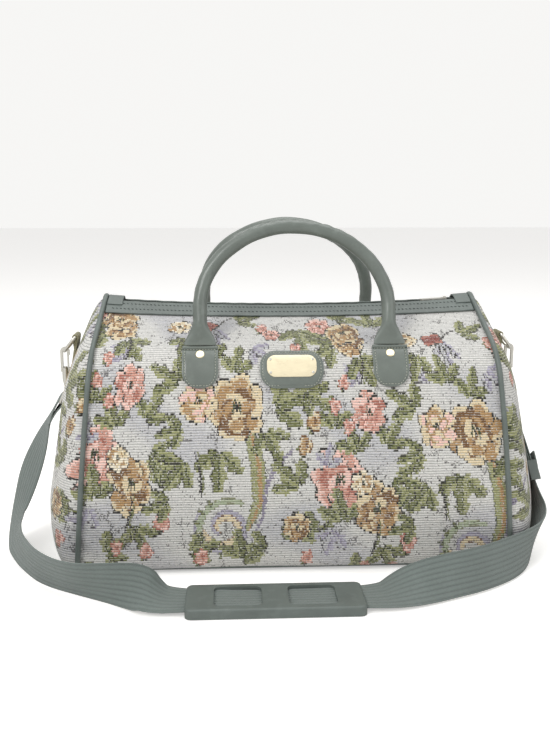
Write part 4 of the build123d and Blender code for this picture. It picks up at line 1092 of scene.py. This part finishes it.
class CarpetBagClothPanels(bpy.types.Operator):
    """Make the woven front and back, which roll over into the top"""

    bl_idname = "carpet_bag.cloth_panels"
    bl_label = "Front and back panels"

    def execute(self, context):
        for name, facing in (("front_cloth", -1), ("back_cloth", 1)):
            piece = shape_grid(name, 384, 232, panel_surface(facing), panel_laid(facing), stitch_colours)
            node = name.replace("cloth", "panel")
            finish_piece(piece, finish("tapestry"), "bag", [node])
        return {"FINISHED"}


class CarpetBagEnds(bpy.types.Operator):
    """Make the two domed woven ends"""

    bl_idname = "carpet_bag.ends"
    bl_label = "Domed ends"

    def execute(self, context):
        for name, side in (("left", -1), ("right", 1)):
            surface, laid = end_surface(side)
            piece = shape_grid(f"end_cloth_{name}", 480, 84, surface, laid, stitch_colours, closed=True)
            finish_piece(piece, finish("tapestry"), "bag", [f"end_panel_{name}"])
        return {"FINISHED"}


class CarpetBagBase(bpy.types.Operator):
    """Make the coated cloth base that turns up into the two side seams"""

    bl_idname = "carpet_bag.base"
    bl_label = "Base"

    def execute(self, context):
        turn = CORNER_RADIUS * math.radians(BASE_SEAM_HEADING)
        girth = 2 * turn + 2 * BASE_HALF_DEPTH

        def surface(across, along):
            share = 2 * across - 1
            run = along * girth - girth / 2
            beyond = np.maximum(np.abs(run) - BASE_HALF_DEPTH, 0) / CORNER_RADIUS
            depth = np.sign(run) * (np.minimum(np.abs(run), BASE_HALF_DEPTH) + np.sin(beyond) * CORNER_RADIUS)
            height = CORNER_RADIUS * (1 - np.cos(beyond))
            return leaned(-share, PANEL_HALF_LENGTH, depth, height)

        piece = shape_grid("base_cloth", 120, 72, surface, lambda a, b: (a * 408, b * girth))
        apply_modifier(piece, "SOLIDIFY", thickness=0.0018, offset=-1)
        finish_piece(piece, finish("vinyl"), "bag", ["base_panel"])
        return {"FINISHED"}


class CarpetBagPiping(bpy.types.Operator):
    """Make the corded piping round each end"""

    bl_idname = "carpet_bag.piping"
    bl_label = "Piping"

    def execute(self, context):
        depths, heights, length = end_outline(PIPING_POINTS, BEAD_LIFT, BEAD_LIFT)
        for name, side in (("left", -1), ("right", 1)):
            x, y, z = leaned(side * np.ones(PIPING_POINTS), SEAM_HALF_LENGTH, depths, heights)
            line = np.stack([x, y, z], -1)
            way = (math.cos(math.radians(SEAM_LEAN)), 0, side * math.sin(math.radians(SEAM_LEAN)))

            def radius(turn, along):
                run = along * length
                return 2.45 + 0.12 * np.sin(run / 7) * np.sin(run / 11.3 + turn), 2.45 + 0.1 * np.sin(run / 9.1)

            surface = tube_surface(line, way, radius)
            laid = lambda a, b: (a * 16, b * length)
            piece = shape_grid(f"piping_cord_{name}", 20, PIPING_POINTS - 1, surface, laid, closed=True)
            finish_piece(piece, finish("vinyl"), "bag", [f"piping_{name}"])
        return {"FINISHED"}


class CarpetBagZip(bpy.types.Operator):
    """Make the two sewn bands beside the zip, its tapes and the end patches"""

    bl_idname = "carpet_bag.zip"
    bl_label = "Zip bands"

    def execute(self, context):
        half_length = SEAM_HALF_LENGTH - BAND_SETBACK
        section = strip_section(FACING_WIDTH, BAND_THICKNESS, BAND_CROWN)

        def band_point(share, inset, lift, facing):
            heading = top_heading_at(share)
            depth, height = wall(lip_run(share) - inset, heading)
            away = outward(heading)
            return leaned(share, half_length, facing * (depth + away[0] * lift), height + away[1] * lift)

        for name, facing in (("front", -1), ("back", 1)):

            def surface(across, along):
                at = across * SECTION_STEPS
                inset = FACING_WIDTH / 2 + np.interp(at, np.arange(SECTION_STEPS + 1), section[0])
                lift = BAND_LIFT + np.interp(at, np.arange(SECTION_STEPS + 1), section[1])
                share = 2 * along - 1
                ripple = 0.12 * np.sin(share * half_length / 3.1 + inset / 3)
                return band_point(share, inset, lift + ripple, facing)

            laid = lambda a, b: (a * 46, b * 2 * half_length)
            piece = shape_grid(f"zip_band_{name}", SECTION_STEPS, 360, surface, laid, closed=True)
            close_ends(piece)
            finish_piece(piece, finish("vinyl"), "bag", [f"zip_facing_{name}"])
            pitch = sizes().stitch_pitch / MM
            shares = np.arange(-BAND_STITCH_RUN, BAND_STITCH_RUN + 0.1, pitch) / (half_length - BAND_STITCH_SETBACK)
            places, headings, facings = [], [], []
            for row, inset in enumerate(BAND_STITCH_INSETS):
                shifted = shares + row * pitch / 2 / half_length
                shifted = shifted[np.abs(shifted) < 0.985]
                here = np.stack(band_point(shifted, inset, BAND_STITCH_LIFT, facing), -1)
                ahead = np.stack(band_point(shifted + 0.01, inset + 0.9, BAND_STITCH_LIFT, facing), -1)
                above = np.stack(band_point(shifted, inset, BAND_STITCH_LIFT + 1, facing), -1)
                places.append(here)
                headings.append(ahead - here)
                facings.append(above - here)
            stitch_row(
                f"zip_band_stitches_{name}", np.concatenate(places), np.concatenate(headings),
                np.concatenate(facings), 2.7, sizes().thread_width / MM * 1.3, finish("thread"),
                "grey_green_vinyl", "bag",
            )
            tape = copy_of_node(f"zip_tape_cloth_{name}", f"zip_tape_{name}", 0.0005)
            finish_piece(tape, finish("zip tape"), "bag", [f"zip_tape_{name}"])
        for name in ("left", "right"):
            patch = copy_of_node(f"zip_end_fold_{name}", f"zip_end_patch_{name}", 0.0005)
            finish_piece(patch, finish("vinyl"), "bag", [f"zip_end_patch_{name}"])
        return {"FINISHED"}


class CarpetBagHandles(bpy.types.Operator):
    """Make the two rolled leather handles with their flared feet"""

    bl_idname = "carpet_bag.handles"
    bl_label = "Handles"

    def execute(self, context):
        here, heading, line = np.array([-HANDLE_HALF_SPAN, HANDLE_FOOT]), 90.0, []
        for size, turn in HANDLE_ARCS:
            if turn:
                normal = np.array([math.sin(math.radians(heading)), -math.cos(math.radians(heading))])
                centre = here + normal * size
                for angle in np.linspace(0, turn, 40)[:-1]:
                    facing = math.radians(heading - angle)
                    line.append(centre - size * np.array([math.sin(facing), -math.cos(facing)]))
                heading -= turn
                facing = math.radians(heading)
                here = centre - size * np.array([math.sin(facing), -math.cos(facing)])
            else:
                way = np.array([math.cos(math.radians(heading)), math.sin(math.radians(heading))])
                for share in np.linspace(0, 1, 20)[:-1]:
                    line.append(here + way * size * share)
                here = here + way * size
        line.append(here)
        flat = np.array(line)
        for name, facing in (("front", -1), ("back", 1)):
            up = np.array([0, -facing * LEAN_SIN, LEAN_COS])
            hinge = np.array([0, facing * HINGE_DEPTH, HINGE_HEIGHT])
            path = hinge + flat[:, 0:1] * np.array([1.0, 0, 0]) + flat[:, 1:2] * up
            length = np.sum(np.linalg.norm(np.diff(path, axis=0), axis=1))
            out_way = np.array([0, facing * LEAN_COS, LEAN_SIN])

            def radius(turn, along):
                run = np.minimum(along, 1 - along) * length
                flare = 1 - ease(0, FLARE_LENGTH - 3, run)
                inner = np.clip(-np.cos(turn), 0, 1) ** 2
                crown = ease(0.3, 0.45, along) * (1 - ease(0.55, 0.7, along))
                folds = 0.42 * np.sin(along * length / 1.9 + 2 * np.sin(turn * 2)) * inner * (0.25 + crown)
                soft = 0.16 * np.sin(along * length / 12 + turn) + 0.1 * np.sin(along * length / 5 + 3 * turn)
                seam = 0.35 * np.exp(-(((turn - 1.22 * math.pi) / 0.12) ** 2))
                crease = 0.5 * flare * np.sin(3 * turn + along * length / 3.4) * ease(0, 8, run)
                wide = HANDLE_RADIUS + flare * FLARE_WIDENING + folds + soft - seam
                tall = HANDLE_RADIUS - flare * FLARE_THINNING + folds * 0.6 + soft + crease * 0.4 - seam
                return wide, tall

            surface = tube_surface(path, out_way, radius)
            laid = lambda a, b: (a * 41, b * length)
            piece = shape_grid(f"handle_leather_{name}", 56, 380, surface, laid, closed=True)
            close_ends(piece)
            finish_piece(piece, finish("leather"), f"handle_{name}", [f"handle_{name}"])
        return {"FINISHED"}


def wall_patch(name, centre, foot_run, rise, half_width, corner, thickness, facing, top_corner=None):
    """A soft patch with rounded corners that lies on the wall."""
    top = corner if top_corner is None else top_corner

    def outline(share):
        run = share * rise
        low = np.clip(corner - run, 0, corner)
        high = np.clip(top - (rise - run), 0, top)
        cut = corner - np.sqrt(np.maximum(corner**2 - low**2, 0))
        if top > 0:
            cut = cut + top - np.sqrt(np.maximum(top**2 - high**2, 0))
        return half_width - cut

    def surface(across, along):
        eased = (1 - np.cos(along * math.pi)) / 2
        wide = outline(eased)
        x = centre + (2 * across - 1) * wide * -facing
        rim = np.minimum(np.minimum(across, 1 - across) * 2 * wide, np.minimum(eased, 1 - eased) * rise)
        puff = 0.45 * ease(0, 3.0, rim) - 0.35 * np.exp(-(((rim - 2.4) / 0.7) ** 2))
        depth, height = wall(foot_run + eased * rise, MIDDLE_HEADING, 0.15 + thickness + puff)
        return x, facing * depth, height

    piece = shape_grid(name, 56, 64, surface, lambda a, b: (a * 2 * half_width, b * rise))
    apply_modifier(piece, "SOLIDIFY", thickness=(thickness - 0.1) * MM, offset=-1)
    apply_modifier(piece, "BEVEL", width=0.0005, segments=2, limit_method="ANGLE", angle_limit=0.9)

    def rim_place(x, run, lift):
        depth, height = wall(foot_run + run, MIDDLE_HEADING, lift)
        return np.stack(np.broadcast_arrays(x, facing * depth, height), -1)

    rim_x, rim_run = [], []
    inset = PATCH_STITCH_INSET
    for share in np.linspace(0.001, 0.999, 240):
        eased = (1 - math.cos(share * math.pi)) / 2
        wide = float(outline(eased))
        rim_x.append(wide - inset)
        rim_run.append(min(max(eased * rise, inset), rise - inset))
    xs = np.array(rim_x + [-x for x in rim_x[::-1]]) + centre
    runs = np.array(rim_run + rim_run[::-1])
    steps = np.concatenate([[0], np.cumsum(np.hypot(np.diff(xs), np.diff(runs)))])
    at = np.arange(1.0, steps[-1], sizes().stitch_pitch / MM * 0.72)
    xs, runs = np.interp(at, steps, xs), np.interp(at, steps, runs)
    places = rim_place(xs, runs, thickness + 0.6)
    ahead = np.roll(places, -1, axis=0) - places
    above = rim_place(xs, runs, thickness + 1.6) - places
    return piece, (places, ahead, above)


class CarpetBagTabs(bpy.types.Operator):
    """Make the four leather tabs under the handle feet, with their stitches"""

    bl_idname = "carpet_bag.tabs"
    bl_label = "Handle tabs"

    def execute(self, context):
        crease_run = SHOULDER_START + SHOULDER_RADIUS * math.radians(TAB_CREASE_HEADING - SIDE_END)
        for side_name, facing in (("front", -1), ("back", 1)):
            for end_name, x in (("left", -HANDLE_HALF_SPAN), ("right", HANDLE_HALF_SPAN)):
                name = f"handle_tab_leather_{side_name}_{end_name}"
                piece, stitches = wall_patch(
                    name, x, crease_run - TAB_DROP, TAB_RISE, TAB_HALF_WIDTH, TAB_CORNER, TAB_THICKNESS, facing, 0
                )
                node = f"handle_tab_{side_name}_{end_name}"
                finish_piece(piece, finish("leather"), "bag", [node])
                stitch_row(
                    f"tab_stitches_{side_name}_{end_name}", *stitches, PATCH_STITCH_LENGTH,
                    sizes().thread_width / MM * 1.3, finish("pale thread"), "grey_green_leather", "bag",
                )
                xs = np.linspace(x - CREASE_HALF_LENGTH, x + CREASE_HALF_LENGTH, 40)
                roll = np.stack([xs, np.full(40, facing * HINGE_DEPTH), np.full(40, HINGE_HEIGHT)], -1)
                surface = tube_surface(roll, (0, 0, 1), lambda turn, along: (CREASE_RADIUS + 0 * turn,) * 2)
                name = f"crease_roll_{side_name}_{end_name}"
                crease = shape_grid(name, 20, 39, surface, lambda a, b: (a * 10, b * 32), closed=True)
                close_ends(crease)
                finish_piece(crease, finish("leather"), "bag")
        return {"FINISHED"}


class CarpetBagBadge(bpy.types.Operator):
    """Make the sewn leather badge behind the plain plate"""

    bl_idname = "carpet_bag.badge"
    bl_label = "Badge"

    def execute(self, context):
        top_run = SHOULDER_START + SHOULDER_RADIUS * math.radians(BADGE_TOP_HEADING - SIDE_END)
        piece, stitches = wall_patch(
            "badge_leather", BADGE_CENTRE, top_run - BADGE_RISE, BADGE_RISE, BADGE_HALF_WIDTH, BADGE_CORNER,
            BADGE_THICKNESS, -1,
        )
        finish_piece(piece, finish("leather"), "bag", ["badge_patch"])
        stitch_row(
            "badge_stitches", *stitches, PATCH_STITCH_LENGTH, sizes().thread_width / MM * 1.3,
            finish("pale thread"), "grey_green_leather", "bag",
        )
        return {"FINISHED"}


# The strap's route, in metres, as the frame has it, and which way its width lies at each point
STRAP_LEFT = [
    (-0.2440, -0.0015, 0.1257), (-0.2386, -0.0010, 0.1364), (-0.2305, -0.0003, 0.1449), (-0.2280, -0.0001, 0.1498),
    (-0.2329, -0.0005, 0.1523), (-0.2422, -0.0013, 0.1337), (-0.2560, -0.0020, 0.1000), (-0.2680, -0.0040, 0.0700),
    (-0.2770, -0.0080, 0.0400), (-0.2790, -0.0260, 0.0210), (-0.2700, -0.0600, 0.0203), (-0.2560, -0.0950, 0.0208),
    (-0.2340, -0.1300, 0.0208), (-0.2010, -0.1570, 0.0209), (-0.1650, -0.1670, 0.0210), (-0.1400, -0.1700, 0.0185),
    (-0.1270, -0.1710, 0.0105), (-0.1120, -0.1710, 0.0051), (-0.0232, -0.1710, 0.0051),
]
LEFT_WAYS = [
    (0.087, -0.996, 0), (0.087, -0.996, 0), (0.087, -0.996, 0), (0.087, -0.996, 0), (0.087, -0.996, 0),
    (0.087, -0.996, 0), (0.500, -0.860, -0.100), (0.591, -0.781, -0.200), (0.510, -0.860, 0), (0.410, -0.850, 0.330),
    (0.373, -0.786, 0.494), (0.306, -0.673, 0.673), (0.212, -0.535, 0.818), (0, -0.451, 0.892), (0, -0.101, 0.995),
    (0, 0.507, 0.862), (0, 0.914, 0.406), (0, 1, 0), (0, 1, 0),
]
STRAP_RIGHT = [
    (-0.0228, -0.1710, 0.0051), (0.0660, -0.1710, 0.0051), (0.0820, -0.1705, 0.0095), (0.1000, -0.1680, 0.0145),
    (0.1300, -0.1630, 0.0195), (0.1660, -0.1500, 0.0205), (0.2030, -0.1250, 0.0205), (0.2300, -0.0980, 0.0220),
    (0.2420, -0.0720, 0.0290), (0.2465, -0.0430, 0.0470), (0.2395, -0.0140, 0.0920), (0.2293, 0, 0.1295),
    (0.2253, 0, 0.1498), (0.2307, 0, 0.1509), (0.2318, 0, 0.1455), (0.2305, 0, 0.1338), (0.2415, -0.0139, 0.0923),
    (0.2455, -0.0305, 0.0665), (0.2505, -0.0303, 0.0672), (0.2476, -0.0182, 0.0860),
]
RIGHT_WAYS = [
    (0, 1, 0), (0, 1, 0), (0, 0.936, 0.352), (0, 0.756, 0.655), (0, 0.447, 0.894), (0, 0.352, 0.936),
    (-0.101, 0.201, 0.974), (0.101, -0.101, 0.990), (0.352, -0.302, 0.886), (0, -0.954, 0.301), (0, -0.954, 0.301),
    (0, -1, 0), (0, -1, 0), (0, -1, 0), (0, -1, 0), (0, -1, 0), (0, -0.954, 0.301), (-0.035, -0.843, 0.538),
    (-0.035, -0.843, 0.538), (-0.035, -0.843, 0.538),
]

# Where each half leaves its fitting, and between which points it bends from the bag to its strap end
LEFT_EXIT = (-0.2317, -0.0004, 0.1486)
LEFT_BLEND = ((-0.262, -0.003, 0.085), (-0.240, -0.001, 0.138))
RIGHT_EXIT = (0.2432, -0.0292, 0.0684)
RIGHT_BLEND = ((0.2400, -0.0155, 0.090), (0.2300, 0, 0.129))


class CarpetBagStrap(bpy.types.Operator):
    """Make the webbing shoulder strap, in two lengths that meet inside the pad"""

    bl_idname = "carpet_bag.strap"
    bl_label = "Shoulder strap"

    def execute(self, context):
        section = strip_section(WEBBING_WIDTH, WEBBING_THICKNESS, 0.0, WEBBING_SECTION_STEPS)
        stops = np.arange(WEBBING_SECTION_STEPS + 1)
        halves = (
            ("left", STRAP_LEFT, LEFT_WAYS, LEFT_EXIT, LEFT_BLEND),
            ("right", STRAP_RIGHT, RIGHT_WAYS, RIGHT_EXIT, RIGHT_BLEND),
        )
        for name, route, ways, exit_point, (blend_start, blend_end) in halves:
            line = smooth_line(route)
            offset = smooth_line([np.array(p) + 0.01 * np.array(w) for p, w in zip(route, ways)])
            sideways = unit(offset - line)
            steps = np.concatenate([[0], np.cumsum(np.linalg.norm(np.diff(line, axis=0), axis=1))])
            length = float(steps[-1])

            def surface(across, along):
                places, headings, _ = along_line(line, along)
                sides = np.stack([np.interp(along * steps[-1], steps, sideways[:, k]) for k in range(3)], -1)
                sides = unit(sides - headings * np.sum(sides * headings, axis=1)[:, None])
                ups = np.cross(headings, sides)
                wide = np.interp(across * WEBBING_SECTION_STEPS, stops, section[0])
                tall = np.interp(across * WEBBING_SECTION_STEPS, stops, section[1])
                wave = 0.25 * np.sin(along * length * 1000 / 23 + wide / 14)
                ring = sides * wide[:, None] + ups * (tall + wave * 0.3)[:, None]
                return (places * 1000 + ring).T

            def laid(across, along):
                wide = np.interp(across * WEBBING_SECTION_STEPS, stops, section[0])
                return wide, along * length * 1000

            rows = int(length * 1000 / WEBBING_STEP)
            piece = shape_grid(f"strap_webbing_{name}", WEBBING_SECTION_STEPS, rows, surface, laid, closed=True)
            close_ends(piece)
            finish_piece(piece, finish("webbing"), None, ["strap"])
            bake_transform(piece)
        return {"FINISHED"}


class CarpetBagRingTabs(bpy.types.Operator):
    """Make the woven tabs that hold the rings at the ends"""

    bl_idname = "carpet_bag.ring_tabs"
    bl_label = "Ring tabs"

    def execute(self, context):
        for name in ("left", "right"):
            piece = copy_of_node(f"ring_tab_cloth_{name}", f"ring_tab_{name}", 0.0005)
            finish_piece(piece, finish("ring cloth"), "bag", [f"ring_tab_{name}"])
        return {"FINISHED"}


NODE_FINISHES = {
    "badge_plate": "gold", "badge_pins": "nickel", "handle_rivets": "gold", "zip_teeth": "nickel",
    "zip_slider": "nickel", "zip_pull": "nickel", "d_ring": "nickel", "snap_hook": "nickel",
    "hook_gate": "nickel", "strap_loop": "nickel", "strap_slide": "moulding", "shoulder_pad": "moulding",
    "base_board": "board", "handle_core": "cord core",
}


class CarpetBagFittings(bpy.types.Operator):
    """Give the metal fittings, the pad and the hidden parts their finishes"""

    bl_idname = "carpet_bag.fittings"
    bl_label = "Fittings"

    def execute(self, context):
        for node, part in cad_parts.items():
            for start, name in NODE_FINISHES.items():
                if node.startswith(start):
                    for slot in part.material_slots:
                        slot.material = finish(name)
        return {"FINISHED"}


class CarpetBagStage(bpy.types.Operator):
    """Add the floor, the soft lights and the camera"""

    bl_idname = "carpet_bag.stage"
    bl_label = "Stage"

    def execute(self, context):
        deselect()
        bpy.ops.mesh.primitive_plane_add(size=14, location=(0, 2.0, -0.0005))
        floor = bpy.context.object
        floor.name = "floor"
        floor.data.materials.append(floor_finish(tuple(colours().floor)))
        place_at_origin(floor)
        lamps = (
            ("key light", (-1.5, -1.9, 2.1), 1.5, 46),
            ("fill light", (1.9, -1.5, 1.3), 1.8, 12),
            ("top light", (0.1, 0.3, 2.4), 2.0, 24),
        )
        for name, place, size, power in lamps:
            bpy.ops.object.light_add(type="AREA", location=place)
            lamp = bpy.context.object
            lamp.name = name
            lamp.data.shape = "DISK"
            lamp.data.size = size
            lamp.data.energy = power
            aim = np.array([0, 0, 0.12]) - np.array(place)
            lamp.rotation_euler = (
                math.atan2(math.hypot(aim[0], aim[1]), -aim[2]), 0, math.atan2(-aim[0], aim[1])
            )
        world = bpy.data.worlds.new("pale surround")
        context.scene.world = world
        world.use_nodes = True
        nodes, links = world.node_tree.nodes, world.node_tree.links
        background = nodes["Background"]
        background.inputs["Color"].default_value = (0.95, 0.95, 0.955, 1)
        background.inputs["Strength"].default_value = 0.42
        white = nodes.new("ShaderNodeBackground")
        white.inputs["Color"].default_value = (0.93, 0.925, 0.91, 1)
        white.inputs["Strength"].default_value = 1.0
        seen = nodes.new("ShaderNodeLightPath")
        either = nodes.new("ShaderNodeMath")
        either.operation = "MAXIMUM"
        links.new(seen.outputs["Is Camera Ray"], either.inputs[0])
        links.new(seen.outputs["Is Glossy Ray"], either.inputs[1])
        mixed = nodes.new("ShaderNodeMixShader")
        links.new(either.outputs[0], mixed.inputs[0])
        links.new(background.outputs[0], mixed.inputs[1])
        links.new(white.outputs[0], mixed.inputs[2])
        links.new(mixed.outputs[0], nodes["World Output"].inputs["Surface"])
        turn = (math.radians(90 - CAMERA_PITCH), 0, math.radians(-CAMERA_YAW))
        bpy.ops.object.camera_add(location=CAMERA_PLACE, rotation=turn)
        camera = bpy.context.object
        camera.data.sensor_fit = "HORIZONTAL"
        camera.data.sensor_width = SENSOR_WIDTH
        camera.data.lens = CAMERA_FOCAL_PIXELS / PICTURE_WIDTH_PIXELS * SENSOR_WIDTH
        context.scene.camera = camera
        context.scene.view_settings.view_transform = "Standard"
        return {"FINISHED"}


STEPS = [
    CarpetBagStage, CarpetBagClothPanels, CarpetBagEnds, CarpetBagBase, CarpetBagPiping, CarpetBagZip,
    CarpetBagHandles, CarpetBagTabs, CarpetBagBadge, CarpetBagStrap, CarpetBagRingTabs, CarpetBagFittings,
]


class CarpetBagPanel(bpy.types.Panel):
    """Lists the steps that dress the bag"""

    bl_idname = "VIEW3D_PT_carpet_bag"
    bl_label = "Carpet Bag"
    bl_space_type = "VIEW_3D"
    bl_region_type = "UI"
    bl_category = "Carpet Bag"

    def draw(self, context):
        for group in (context.scene.carpet_bag_sizes, context.scene.carpet_bag_colours):
            for name in group.__annotations__:
                self.layout.prop(group, name)
        for step in STEPS:
            self.layout.operator(step.bl_idname)


CLASSES = [CarpetBagSizes, CarpetBagColours, *STEPS, CarpetBagPanel]


def register():
    for each in CLASSES:
        bpy.utils.register_class(each)
    bpy.types.Scene.carpet_bag_sizes = bpy.props.PointerProperty(type=CarpetBagSizes)
    bpy.types.Scene.carpet_bag_colours = bpy.props.PointerProperty(type=CarpetBagColours)


def unregister():
    del bpy.types.Scene.carpet_bag_colours
    del bpy.types.Scene.carpet_bag_sizes
    for each in reversed(CLASSES):
        bpy.utils.unregister_class(each)


def main():
    register()
    for step in STEPS:
        group, name = step.bl_idname.split(".")
        getattr(getattr(bpy.ops, group), name)()


if __name__ == "__main__":
    main()
